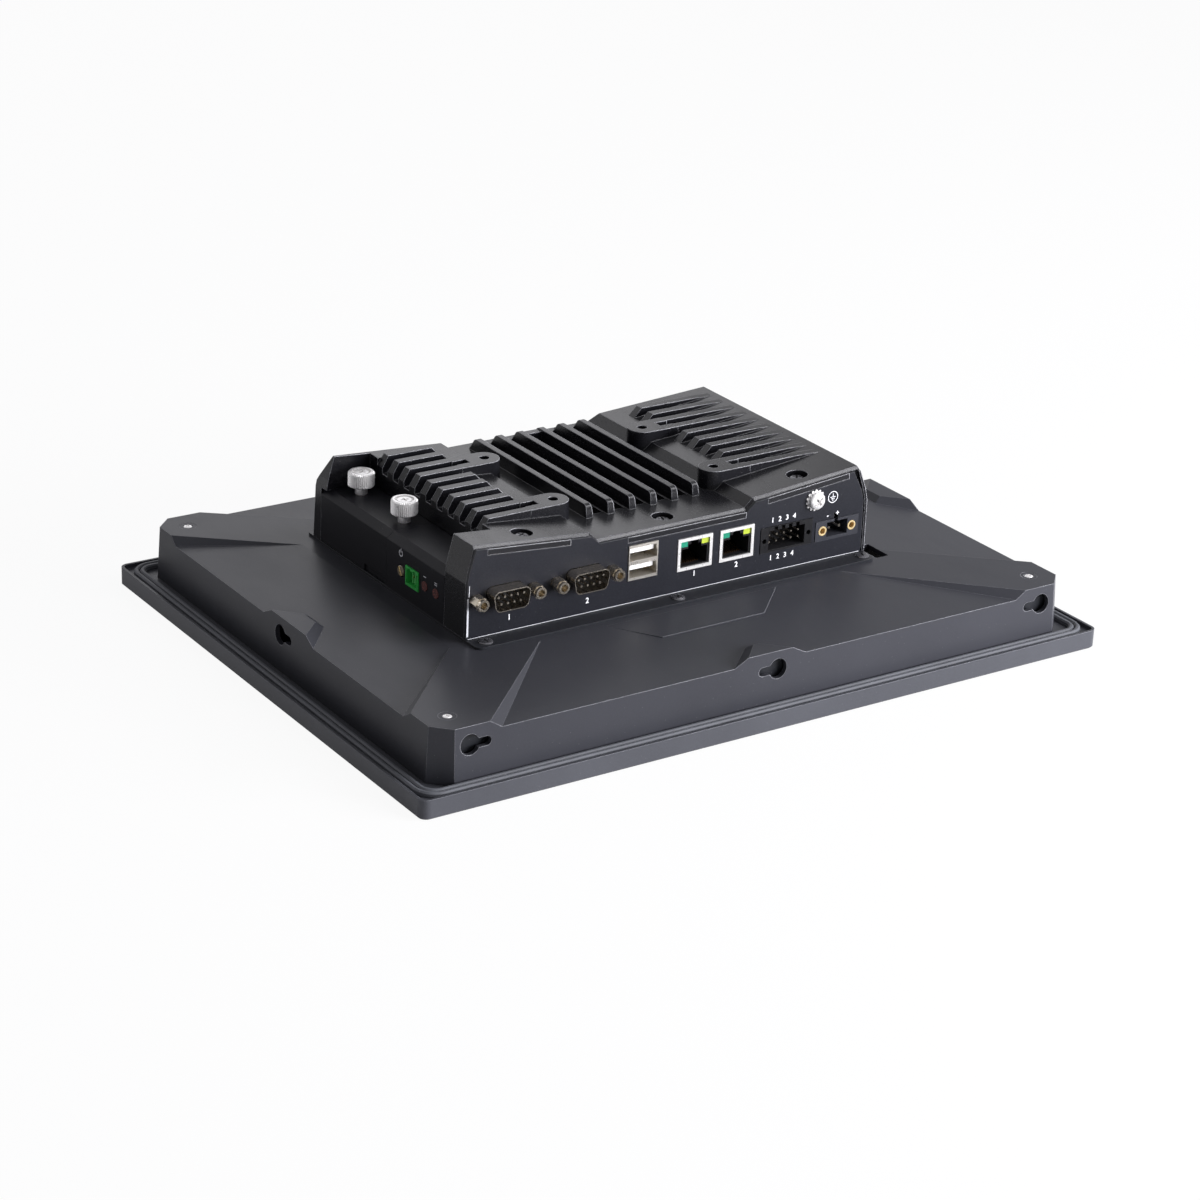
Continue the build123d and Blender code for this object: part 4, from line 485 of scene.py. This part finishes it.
# A geometry node tree under construction, with a named input for each size
class Recipe(NodeMaker):
    kinds = {float: "NodeSocketFloat", int: "NodeSocketInt", str: "NodeSocketMaterial"}

    def __init__(self, name, sizes):
        super().__init__(bpy.data.node_groups.new(name, "GeometryNodeTree"))
        self.sizes = sizes
        self.identifiers = {}
        sockets = self.tree.interface
        sockets.new_socket("Spots", in_out="INPUT", socket_type="NodeSocketGeometry")
        sockets.new_socket("Result", in_out="OUTPUT", socket_type="NodeSocketGeometry")
        for size, value in sizes.items():
            made = sockets.new_socket(size, in_out="INPUT", socket_type=self.kinds[type(value)])
            self.identifiers[size] = made.identifier
        self.node("NodeGroupInput")
        self.group = self.tree.nodes[0]

    def __getitem__(self, size):
        return Signal(self, self.group.outputs[size])

    # Extrudes the top face step by step: rise in metres, then size of the new face
    def raised(self, geometry, steps):
        top = True
        for rise, size in steps:
            wanted = {"Mesh": geometry, "Offset Scale": rise, "Individual": False, "Selection": top}
            extruded = self.node("GeometryNodeExtrudeMesh", {"mode": "FACES"}, wanted)
            top = Signal(self, extruded.socket.node.outputs["Top"])
            wanted = {"Geometry": extruded, "Selection": top, "Scale": size}
            geometry = self.node("GeometryNodeScaleElements", {"domain": "FACE"}, wanted)
        return geometry

    def moved(self, geometry, *shift):
        place = self.node("ShaderNodeCombineXYZ", {}, shift)
        return self.node("GeometryNodeTransform", {}, {"Geometry": geometry, "Translation": place})

    def drum(self, radius, length, sides, low):  # a round bar that stands on the height low
        wanted = {"Radius": radius, "Depth": length, "Vertices": sides}
        bar = self.node("GeometryNodeMeshCylinder", {}, wanted)
        return self.moved(bar, 0.0, 0.0, length * 0.5 + low)

    # Pushes rim points of a disc inward: in each cycle, those numbered above the mark
    def notched(self, disc, cycle, mark, depth):
        index = self.node("GeometryNodeInputIndex")
        step = index.maths("MODULO", index, cycle)
        inward = step.maths("GREATER_THAN", step, mark) * depth * -1.0
        place = self.node("GeometryNodeInputPosition")
        ray = self.node("ShaderNodeVectorMath", {"operation": "NORMALIZE"}, [place])
        wanted = {0: ray, "Scale": inward}
        push = self.node("ShaderNodeVectorMath", {"operation": "SCALE"}, wanted)
        return self.node("GeometryNodeSetPosition", {}, {"Geometry": disc, "Offset": push})

    # Cross recess of that reach, sunk from the height top
    def crossCut(self, geometry, reach, top):
        blades = []
        long, slim, deep = (reach * share for share in crossShape.values())
        for size in ([long, slim, deep], [slim, long, deep]):
            size = self.node("ShaderNodeCombineXYZ", {}, size)
            blade = self.node("GeometryNodeMeshCube", {}, {"Size": size})
            blades.append(self.moved(blade, 0.0, 0.0, top))
        wanted = {"Mesh 1": geometry, "Mesh 2": blades}
        settings = {"operation": "DIFFERENCE", "solver": "EXACT"}
        return self.node("GeometryNodeMeshBoolean", settings, wanted)

    # One copy of the parts on each spot, turned at random about its own axis
    def finish(self, parts):
        one = self.node("GeometryNodeJoinGeometry", {}, {"Geometry": parts})
        turn = self.node("FunctionNodeRandomValue", {"data_type": "FLOAT"},
                         {2: 0.0, 3: 2 * math.pi, "Seed": self["Seed"]}, output=1)
        angles = self.node("ShaderNodeCombineXYZ", {}, [0.0, 0.0, turn])
        wanted = {"Points": self["Spots"], "Instance": one, "Rotation": angles}
        copies = self.node("GeometryNodeInstanceOnPoints", {}, wanted)
        real = self.node("GeometryNodeRealizeInstances", {}, {"Geometry": copies})
        wanted = {"Geometry": real, "Material": self["Finish"]}
        self.node("NodeGroupOutput", {}, {0: self.node("GeometryNodeSetMaterial", {}, wanted)})
        return self

    # The plain mesh that the tree makes on these spots (millimetres), turned by a matrix
    def made(self, spots, sizes, pose=None):
        points = bpy.data.meshes.new("spots")
        points.from_pydata([Vector(spot) * mm for spot in spots], [], [])
        holder = bpy.data.objects.new("spots", points)
        bpy.context.collection.objects.link(holder)
        modifier = holder.modifiers.new("recipe", "NODES")
        modifier.node_group = self.tree
        for size, value in {**self.sizes, **sizes}.items():
            wanted = finishes[value] if isinstance(value, str) else value
            modifier[self.identifiers[size]] = wanted
        bpy.context.view_layer.update()
        evaluated = holder.evaluated_get(bpy.context.evaluated_depsgraph_get())
        mesh = bpy.data.meshes.new_from_object(evaluated)
        bpy.data.objects.remove(holder)
        if pose:
            mesh.transform(pose)
        return mesh


# Round heads with a cross recess on a plain shank
def panHeads():
    recipe = Recipe("panHeads", {
        "Radius": 2.8 * mm, "Height": 1.9 * mm, "Shank radius": 1.4 * mm, "Shank": 8.0 * mm,
        "Cross": 1.45 * mm, "Sides": 40, "Seed": 3, "Finish": "black_screw",
    })
    radius, height = recipe["Radius"], recipe["Height"]
    wanted = {"Radius": radius, "Vertices": recipe["Sides"]}
    disc = recipe.node("GeometryNodeMeshCircle", {"fill_type": "NGON"}, wanted)
    # rise as a share of the height, then size of the new face
    dome = ((0.42, 1.0), (0.20, 0.96), (0.16, 0.90), (0.12, 0.80), (0.07, 0.62), (0.03, 0.30))
    head = recipe.raised(disc, [(height * rise, size) for rise, size in dome])
    head = recipe.crossCut(head, recipe["Cross"], height)
    length = recipe["Shank"]
    shank = recipe.drum(recipe["Shank radius"], length, barSides["shank"], length * -1.0)
    return recipe.finish([head, shank])


# Knurled thumbscrew heads: straight knurl, chamfered rims, dished top with a cross
def knurledHeads():
    recipe = Recipe("knurledHeads", {
        "Radius": 5.3 * mm, "Height": 6.0 * mm, "Teeth": 42, "Tooth depth": 0.36 * mm,
        "Neck radius": 2.5 * mm, "Neck": 3.2 * mm, "Shank radius": 1.45 * mm, "Shank": 7.6 * mm,
        "Cross": 1.7 * mm, "Seed": 8, "Finish": "bright_screw",
    })
    radius, height = recipe["Radius"], recipe["Height"]
    wanted = {"Radius": radius, "Vertices": recipe["Teeth"] * 2.0}
    disc = recipe.node("GeometryNodeMeshCircle", {"fill_type": "NGON"}, wanted)
    disc = recipe.notched(disc, 2.0, 0.5, recipe["Tooth depth"])
    wanted = {"Geometry": disc, "Scale": (0.92, 0.92, 1.0)}
    small = recipe.node("GeometryNodeTransform", {}, wanted)
    # rise as a share of the height, then size of the new face
    steps = ((0.07, 1.087), (0.84, 1.0), (0.09, 0.91), (0.0, 0.82), (-0.14, 0.98),
             (0.0, 0.78), (0.10, 0.96))
    head = recipe.raised(small, [(height * rise, size) for rise, size in steps])
    head = recipe.crossCut(head, recipe["Cross"], height)
    head = recipe.moved(head, 0.0, 0.0, recipe["Neck"])
    neck = recipe.drum(recipe["Neck radius"], recipe["Neck"], barSides["neck"], 0.0)
    length = recipe["Shank"]
    shank = recipe.drum(recipe["Shank radius"], length, barSides["shank"], length * -1.0)
    return recipe.finish([head, neck, shank])


# Flat ring with a row of teeth round its rim
def toothedRing():
    recipe = Recipe("toothedRing", {
        "Radius": 4.5 * mm, "Bore": 2.1 * mm, "Thickness": 0.5 * mm, "Teeth": 14,
        "Tooth depth": 0.7 * mm, "Seed": 2, "Finish": "bright_screw",
    })
    wanted = {"Radius": recipe["Radius"], "Vertices": recipe["Teeth"] * 4.0}
    disc = recipe.node("GeometryNodeMeshCircle", {"fill_type": "NGON"}, wanted)
    disc = recipe.notched(disc, 4.0, 1.5, recipe["Tooth depth"])
    thickness = recipe["Thickness"]
    plate = recipe.raised(disc, [(thickness, 1.0)])
    low = recipe.node("GeometryNodeFlipFaces", {}, {"Mesh": disc})
    plate = recipe.node("GeometryNodeMergeByDistance", {}, {
        "Geometry": recipe.node("GeometryNodeJoinGeometry", {}, {"Geometry": [plate, low]}),
        "Distance": 0.001 * mm})
    bore = recipe.drum(recipe["Bore"], thickness * 3.0, barSides["bore"], thickness * -1.0)
    settings = {"operation": "DIFFERENCE", "solver": "EXACT"}
    ring = recipe.node("GeometryNodeMeshBoolean", settings, {"Mesh 1": plate, "Mesh 2": [bore]})
    return recipe.finish([ring])


# Lowest and highest corner of each separate solid of a node, in millimetres
def solidBoxes(nodeName):
    mesh = nodes[nodeName].data
    group = list(range(len(mesh.vertices)))

    def root(n):
        while group[n] != n:
            group[n] = group[group[n]]
            n = group[n]
        return n

    seen = {}
    for n, vertex in enumerate(mesh.vertices):
        group[n] = seen.setdefault(tuple(round(c, 7) for c in vertex.co), n)
    for edge in mesh.edges:
        a, b = (root(n) for n in edge.vertices)
        group[a] = b
    boxes = {}
    for n, vertex in enumerate(mesh.vertices):
        low, high = boxes.setdefault(root(n), (list(vertex.co), list(vertex.co)))
        for axis in range(3):
            low[axis] = min(low[axis], vertex.co[axis])
            high[axis] = max(high[axis], vertex.co[axis])
    return [(Vector(low) / mm, Vector(high) / mm) for low, high in boxes.values()]


# Places under heads of that height whose tops are level with a node's solids
def coverSpots(nodeName, headHeight):
    return [((low.x + high.x) / 2, (low.y + high.y) / 2, high.z - headHeight)
            for low, high in solidBoxes(nodeName)]


# name: node, finish, then in mm head radius, head height of the solid and of this one, cross
screwSets = {
    "flangeScrews": ("flange_screws", "black_screw", 2.8, 1.9, 1.0, 1.5),
    "deckScrews": ("deck_screws", "black_screw", 3.0, 1.9, 1.8, 1.7),
}
panRecipe, ringRecipe = panHeads(), toothedRing()
shankRadius = 1.4
for name, (nodeName, finish, radius, solidHead, height, cross) in screwSets.items():
    length = min((high.z - low.z) for low, high in solidBoxes(nodeName)) - solidHead
    spots = coverSpots(nodeName, solidHead)
    mesh = panRecipe.made(spots, {
        "Radius": radius * mm, "Height": height * mm, "Shank radius": shankRadius * mm,
        "Shank": length * mm, "Cross": cross * mm, "Finish": finish,
    })
    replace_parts(addPiece(name, mesh, finish), nodeName)

# Corner screws: small bright heads, flush in a coated bush that fills each seat; in mm
cornerLook = {
    "faceAboveSolid": 0.5, "head": 0.9, "headRadius": 1.85, "proud": 0.12, "cross": 0.95,
    "shank": 16.0, "bushDepth": 2.4, "bushRadius": 3.38, "bushBore": 1.95, "bushBelowFace": 0.04,
}
cornerSizes = {name: value * mm for name, value in cornerLook.items()}
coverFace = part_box("rear_cover_screws")[1][2] / mm + cornerLook["faceAboveSolid"]
headSeat = coverFace - cornerLook["head"] + cornerLook["proud"]
spots = [(x, y, headSeat) for x, y, z in coverSpots("rear_cover_screws", 0.0)]
mesh = panRecipe.made(spots, {
    "Radius": cornerSizes["headRadius"], "Height": cornerSizes["head"],
    "Cross": cornerSizes["cross"], "Shank": cornerSizes["shank"], "Seed": 5,
    "Finish": "bright_screw",
})
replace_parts(addPiece("coverScrews", mesh, "bright_screw"), "rear_cover_screws")
spots = [(x, y, coverFace - cornerLook["bushDepth"]) for x, y, z in spots]
bushes = ringRecipe.made(spots, {
    "Radius": cornerSizes["bushRadius"], "Bore": cornerSizes["bushBore"], "Tooth depth": 0.0,
    "Thickness": cornerSizes["bushDepth"] - cornerSizes["bushBelowFace"],
    "Finish": "cover_coat",
})
addPiece("coverScrewBushes", bushes, "cover_coat")

# The earth screw points out of the plate; its head stands on the toothed washer
earthLook = {"shankRadius": 1.9, "cross": 2.1, "sides": 56}
low, high = (Vector(corner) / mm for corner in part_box("ground_screw"))
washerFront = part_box("star_washer")[0][1] / mm
screwSpot = Vector(((low.x + high.x) / 2, washerFront, (low.z + high.z) / 2)) * mm
outOfPlate = Matrix.Translation(screwSpot) @ Matrix.Rotation(math.radians(90), 4, "X")
mesh = panRecipe.made([(0, 0, 0)], {
    "Radius": (high.x - low.x) / 2 * mm, "Height": (washerFront - low.y) * mm,
    "Shank": (high.y - washerFront) * mm, "Shank radius": earthLook["shankRadius"] * mm,
    "Cross": earthLook["cross"] * mm, "Sides": earthLook["sides"], "Seed": 11,
    "Finish": "bright_screw",
}, outOfPlate)
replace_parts(addPiece("earthScrew", mesh, "bright_screw"), "ground_screw")

# Thumbscrews stand on their necks; the recipe's own sizes fit them
thumbRecipe = knurledHeads()
standing = (thumbRecipe.sizes["Height"] + thumbRecipe.sizes["Neck"]) / mm
mesh = thumbRecipe.made(coverSpots("storage_thumbscrews", standing), {})
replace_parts(addPiece("storageThumbscrews", mesh, "bright_screw"), "storage_thumbscrews")

# The toothed washer lies flat against the plate
low, high = (Vector(corner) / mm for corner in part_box("star_washer"))
facing = Matrix.Translation(Vector(((low.x + high.x) / 2, high.y, (low.z + high.z) / 2)) * mm)
mesh = ringRecipe.made([(0, 0, 0)], {"Thickness": (high.y - low.y) * mm},
                       facing @ Matrix.Rotation(math.radians(90), 4, "X"))
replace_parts(addPiece("starWasher", mesh, "bright_screw"), "star_washer")
print("screws and washer made")


# Printed white marks on the connector plate and on the side panel
inkLook = {"colour": (0.86, 0.87, 0.89), "roughness": 0.5}


def printedInk(name, look):
    finish = Finish(name)
    thin = finish.noise(3500.0, detail=3.0, roughness=0.6).spread(0.3, 0.6)
    base = finish.mix(thin, tint(look["colour"], 0.72), tint(look["colour"], 1.0))
    return finish.close(colour=base, roughness=look["roughness"] + thin * 0.1)


finishes["mark_ink"] = printedInk("mark_ink", inkLook)

# Faces that carry marks: origin, direction of reading, upright direction; mark thickness
plateFront = min(v.co.y for v in nodes["io_plate"].data.vertices)
sideFace = min(v.co.x for v in nodes["side_panel"].data.vertices)
markFaces = {
    "plate": (Vector((0, plateFront, 0)), Vector((1, 0, 0)), Vector((0, 0, 1))),
    "side": (Vector((sideFace, 0, 0)), Vector((0, -1, 0)), Vector((0, 0, 1))),
}
markThickness = 0.05 * mm


# Pose of a mark on a face; the spot is (x, z) on the plate and (y, z) on the side
def lyingOn(face, spot):
    origin, along, up = markFaces[face]
    pose = Matrix((along, up, along.cross(up))).transposed().to_4x4()
    first = along * spot[0] if face == "plate" else -along * spot[0]
    pose.translation = origin + first * mm + up * spot[1] * mm
    return pose


# Flat strokes of that width along lines of points, all in millimetres
def strokeMesh(lines, width):
    vertices, faces = [], []
    for line, closed in lines:
        points = [Vector((x, y, 0)) * mm for x, y in line]
        count = len(points)
        start = len(vertices)
        for n, point in enumerate(points):
            before = points[(n - 1) % count] if closed or n > 0 else point
            after = points[(n + 1) % count] if closed or n < count - 1 else point
            run = (after - before).normalized()
            side = Vector((-run.y, run.x, 0)) * width * mm / 2
            for edge in (point + side, point - side):
                vertices += [edge, edge + Vector((0, 0, markThickness))]
        for n in range(count if closed else count - 1):
            a, b = start + 4 * n, start + 4 * ((n + 1) % count)
            faces += [(a + 1, a + 3, b + 3, b + 1), (a, b, b + 2, a + 2),
                      (a, a + 1, b + 1, b), (a + 2, b + 2, b + 3, a + 3)]
        if not closed:
            a, b = start, start + 4 * (count - 1)
            faces += [(a, a + 2, a + 3, a + 1), (b, b + 1, b + 3, b + 2)]
    mesh = bpy.data.meshes.new("strokes")
    mesh.from_pydata(vertices, [], faces)
    mesh.validate()
    return mesh


# Points on an arc round the origin, angles in degrees
def arcPoints(radius, fromAngle, toAngle, steps=28):
    turns = [fromAngle + (toAngle - fromAngle) * n / steps for n in range(steps + 1)]
    angles = [math.radians(turn) for turn in turns]
    return [(radius * math.cos(a), radius * math.sin(a)) for a in angles]


letterLook = {"capShare": 0.7, "bolder": 0.014, "curveSteps": 3}


# Letters of that height in millimetres, as a thin plate
def textMesh(words, height):
    letters = bpy.data.curves.new("letters", "FONT")
    letters.body, letters.size = words, height * mm / letterLook["capShare"]
    letters.align_x, letters.align_y = "CENTER", "CENTER"
    letters.extrude, letters.resolution_u = markThickness / 2, letterLook["curveSteps"]
    letters.offset = letterLook["bolder"] * letters.size
    holder = bpy.data.objects.new("letters", letters)
    bpy.context.collection.objects.link(holder)
    bpy.context.view_layer.update()
    evaluated = holder.evaluated_get(bpy.context.evaluated_depsgraph_get())
    mesh = bpy.data.meshes.new_from_object(evaluated)
    bpy.data.objects.remove(holder)
    mesh.transform(Matrix.Translation((0, 0, markThickness / 2)))
    return mesh


# name: face, words, place in mm, height in mm
plateWords = {
    "portMarkOne": ("plate", "1", (-77.2, 34.3), 2.2),
    "portMarkTwo": ("plate", "2", (-42.4, 33.9), 2.2),
    "networkMarkOne": ("plate", "1", (6.8, 35.3), 2.2),
    "networkMarkTwo": ("plate", "2", (26.8, 35.1), 2.2),
    "supplyPlus": ("plate", "+", (75.4, 47.6), 2.2),
    "supplyMinus": ("plate", "-", (70.6, 47.4), 2.2),
}
signalRow = {"first": 43.45, "pitch": 3.5, "top": 50.4, "low": 34.6, "height": 2.1}
for n in range(4):
    spotX = signalRow["first"] + n * signalRow["pitch"]
    for row in ("top", "low"):
        name = "signal%s%d" % (row.capitalize(), n + 1)
        plateWords[name] = ("plate", str(n + 1), (spotX, signalRow[row]), signalRow["height"])
for name, (face, words, spot, height) in plateWords.items():
    mark = textMesh(words, height)
    mark.transform(lyingOn(face, spot))
    addPiece(name, mark, "mark_ink")

# name: face, place and stroke width in mm, lines of points, each closed or not
symbols = {
    "earthSymbol": ("plate", (72.6, 54.9), 0.26, [
        (arcPoints(2.3, 0, 360)[:-1], True), ([(0, 1.5), (0, 0)], False),
        ([(-1.3, 0), (1.3, 0)], False), ([(-0.85, -0.65), (0.85, -0.65)], False),
        ([(-0.4, -1.3), (0.4, -1.3)], False)]),
    "powerSymbol": ("side", (-2.4, 46.2), 0.34, [
        (arcPoints(1.25, 125, 415), False), ([(0, 0.2), (0, 1.75)], False)]),
    "lampLineOne": ("side", (-20.2, 43.0), 0.32, [([(-0.9, 0), (0.9, 0)], False)]),
    "lampLineTwo": ("side", (-28.3, 43.0), 0.32, [
        ([(-0.9, 0.4), (0.9, 0.4)], False), ([(-0.9, -0.4), (0.9, -0.4)], False)]),
}
for name, (face, spot, width, lines) in symbols.items():
    mark = strokeMesh(lines, width)
    mark.transform(lyingOn(face, spot))
    addPiece(name, mark, "mark_ink")
print("marks printed:", len(plateWords) + len(symbols))


# Rounds the edges of a mesh by that many millimetres
def softened(mesh, soft):
    block = bmesh.new()
    block.from_mesh(mesh)
    bmesh.ops.bevel(block, geom=block.edges[:], offset=soft * mm, segments=2, profile=0.5,
                    affect="EDGES")
    bmesh.ops.recalc_face_normals(block, faces=block.faces[:])
    block.to_mesh(mesh)
    block.free()
    return mesh


# Box mesh with softened edges, from two corners in millimetres
def boxMesh(low, high, soft=0.08):
    corners = [Vector((x, y, z)) * mm for x in (low[0], high[0]) for y in (low[1], high[1])
               for z in (low[2], high[2])]
    mesh = bpy.data.meshes.new("block")
    mesh.from_pydata(corners, [], [(0, 1, 3, 2), (4, 6, 7, 5), (0, 4, 5, 1), (2, 3, 7, 6),
                                   (0, 2, 6, 4), (1, 5, 7, 3)])
    return softened(mesh, soft)


# Shallow pad in the slope before the connectors: corners and heights in mm
landing = {
    "corners": ((-41.5, -62.0), (-27.3, -79.6), (20.3, -79.2), (38.5, -62.0)),
    "tops": (27.72, 27.05, 27.06, 27.72), "depth": 0.9, "soft": 0.16,
}


# A flat plate with its upper corners at the heights given
def padMesh(look):
    count = len(look["corners"])
    rims = [[Vector((x, y, z - sunk)) * mm for (x, y), z in zip(look["corners"], look["tops"])]
            for sunk in (look["depth"], 0.0)]
    sides = [(n, (n + 1) % count, count + (n + 1) % count, count + n) for n in range(count)]
    mesh = bpy.data.meshes.new("pad")
    mesh.from_pydata(rims[0] + rims[1], [], [(3, 2, 1, 0), (4, 5, 6, 7)] + sides)
    return softened(mesh, look["soft"])


addPiece("coverLanding", padMesh(landing), "cover_coat")

# Light strips where the coat stops at the plate's edges, bare metal painted brighter as a
# highlight: points in mm, width in mm
plateLow, plateHigh = (Vector(corner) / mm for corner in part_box("io_plate"))
bareEdgeHighlights = {
    "plateLeftEdge": (0.75, [(plateLow.x + 0.5, plateLow.z + 1.2), (plateLow.x + 0.5, 45.2)]),
    "plateLowEdge": (0.22, [(plateLow.x + 0.6, plateLow.z + 0.2),
                            (plateHigh.x - 0.8, plateLow.z + 0.2)]),
    "plateHighEdge": (0.22, [(plateLow.x + 0.9, 46.0), (plateLow.x + 1.0, 50.4)]),
}
bareEdgeHighlightLook = {"colour": (0.62, 0.63, 0.66), "roughness": 0.3}
finishes["bare_edge"] = printedInk("bare_edge", bareEdgeHighlightLook)
for name, (width, points) in bareEdgeHighlights.items():
    strip = strokeMesh([(points, False)], width)
    strip.transform(lyingOn("plate", (0, 0)))
    addPiece(name, strip, "bare_edge")

# Slot in the power button, turned a little: half sizes in mm, turn in degrees
keySlotLook = {"half": (0.12, 0.42, 1.9), "soft": 0.05, "turn": -28}
keyLow, keyHigh = (Vector(corner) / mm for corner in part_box("power_button"))
keyMiddle = ((keyLow.y + keyHigh.y) / 2, (keyLow.z + keyHigh.z) / 2)
slotHalf = Vector(keySlotLook["half"])
keySlot = boxMesh(-slotHalf, slotHalf, keySlotLook["soft"])
turned = Matrix.Rotation(math.radians(keySlotLook["turn"]), 4, "X")
keySlot.transform(Matrix.Translation(Vector((keyLow.x, *keyMiddle)) * mm) @ turned)
addPiece("powerKeySlot", keySlot, "contact_gold", body="power_button")

# Ribs in the remote terminal, in mm from its box
ribLook = {"inset": 1.6, "reach": 3.2, "half": 0.28, "above": 1.0, "below": 1.8, "pitch": 1.9}
terminalLow, terminalHigh = (Vector(corner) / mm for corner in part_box("remote_terminal"))
for step, name in enumerate(("terminalRibFront", "terminalRibMiddle", "terminalRibBack"), -1):
    middle = (terminalLow.y + terminalHigh.y) / 2 + step * ribLook["pitch"]
    rib = boxMesh((terminalLow.x + ribLook["inset"], middle - ribLook["half"],
                   terminalLow.z + ribLook["above"]),
                  (terminalLow.x + ribLook["reach"], middle + ribLook["half"],
                   terminalHigh.z - ribLook["below"]))
    addPiece(name, rib, "pale_green")
print("pad, bare edges, key slot and ribs made")

# White floor and background, soft studio lamps
stageLook = {
    "floor": 3.0, "pale": (0.86, 0.86, 0.86, 1.0), "white": 1.0, "clean": 0.93,
    "surround": (0.235, 0.232, 0.255, 1.0), "mirrored": 0.48, "mirroredFloor": 0.46,
    "lampTint": (0.965, 0.960, 1.0), "lampAim": (0.0, 0.0, 0.03),
}
lampLook = {
    # name: place, watts, size, seen in glossy faces
    "frontRight": ((0.85, -1.05, 0.30), 43.0, (0.9, 0.5), False),
    "highRight": ((0.80, -0.62, 1.12), 10.0, (0.25, 0.8), True),
    "backRight": ((0.40, 1.25, 0.62), 1.6, (0.9, 0.5), True),
    "backLeft": ((-0.75, 1.35, 0.95), 1.0, (0.9, 0.35), True),
}


# 1 where the camera looks straight at it, a share of that in mirrors
def seenDirectly(finish, mirrored):
    rays = [finish.node("ShaderNodeLightPath", output=name)
            for name in ("Is Camera Ray", "Is Transmission Ray", "Is Glossy Ray")]
    whole = rays[0] + rays[1] + rays[2] * mirrored
    return whole.maths("MINIMUM", whole, 1.0)


# Floor and sky that look white to the camera and light the object with a dim grey
def buildStage(look):
    half = look["floor"]
    mesh = bpy.data.meshes.new("floor")
    corners = [(-half, -half, 0), (half, -half, 0), (half, half, 0), (-half, half, 0)]
    mesh.from_pydata(corners, [], [(0, 1, 2, 3)])
    finish = Finish("floorPaint")
    pale = finish.node("ShaderNodeBsdfDiffuse", {}, {"Color": look["pale"]})
    white = finish.node("ShaderNodeEmission", {}, {"Strength": look["white"]})
    both = finish.node("ShaderNodeMixShader", {}, [
        seenDirectly(finish, look["mirroredFloor"]) * look["clean"], pale, white])
    finish.node("ShaderNodeOutputMaterial", {}, {"Surface": both})
    mesh.materials.append(finish.material)
    floor = bpy.data.objects.new("floor", mesh)
    bpy.context.collection.objects.link(floor)
    world = bpy.data.worlds.new("studio")
    bpy.context.scene.world = world
    world.use_nodes = True
    sky = NodeMaker(world.node_tree)
    soft = sky.node("ShaderNodeBackground", {}, {"Color": look["surround"]})
    wanted = {"Strength": look["white"], "Color": (1, 1, 1, 1)}
    white = sky.node("ShaderNodeBackground", {}, wanted)
    seen = seenDirectly(sky, look["mirrored"])
    both = sky.node("ShaderNodeMixShader", {}, [seen, soft, white])
    sky.node("ShaderNodeOutputWorld", {}, {"Surface": both})


# Soft rectangular lamp that points at the middle of the object
def addLamp(name, place, watts, size, glossy):
    data = bpy.data.lights.new(name, "AREA")
    data.shape, data.size, data.size_y, data.energy = "RECTANGLE", size[0], size[1], watts
    data.color = stageLook["lampTint"]
    lamp = bpy.data.objects.new(name, data)
    bpy.context.collection.objects.link(lamp)
    lamp.location = place
    lamp.visible_glossy = glossy
    away = Vector(place) - Vector(stageLook["lampAim"])
    lamp.rotation_euler = away.to_track_quat("Z", "Y").to_euler()


buildStage(stageLook)
for name, settings in lampLook.items():
    addLamp(name, *settings)
bpy.context.scene.view_settings.view_transform = "Standard"
print("stage and lamps set")
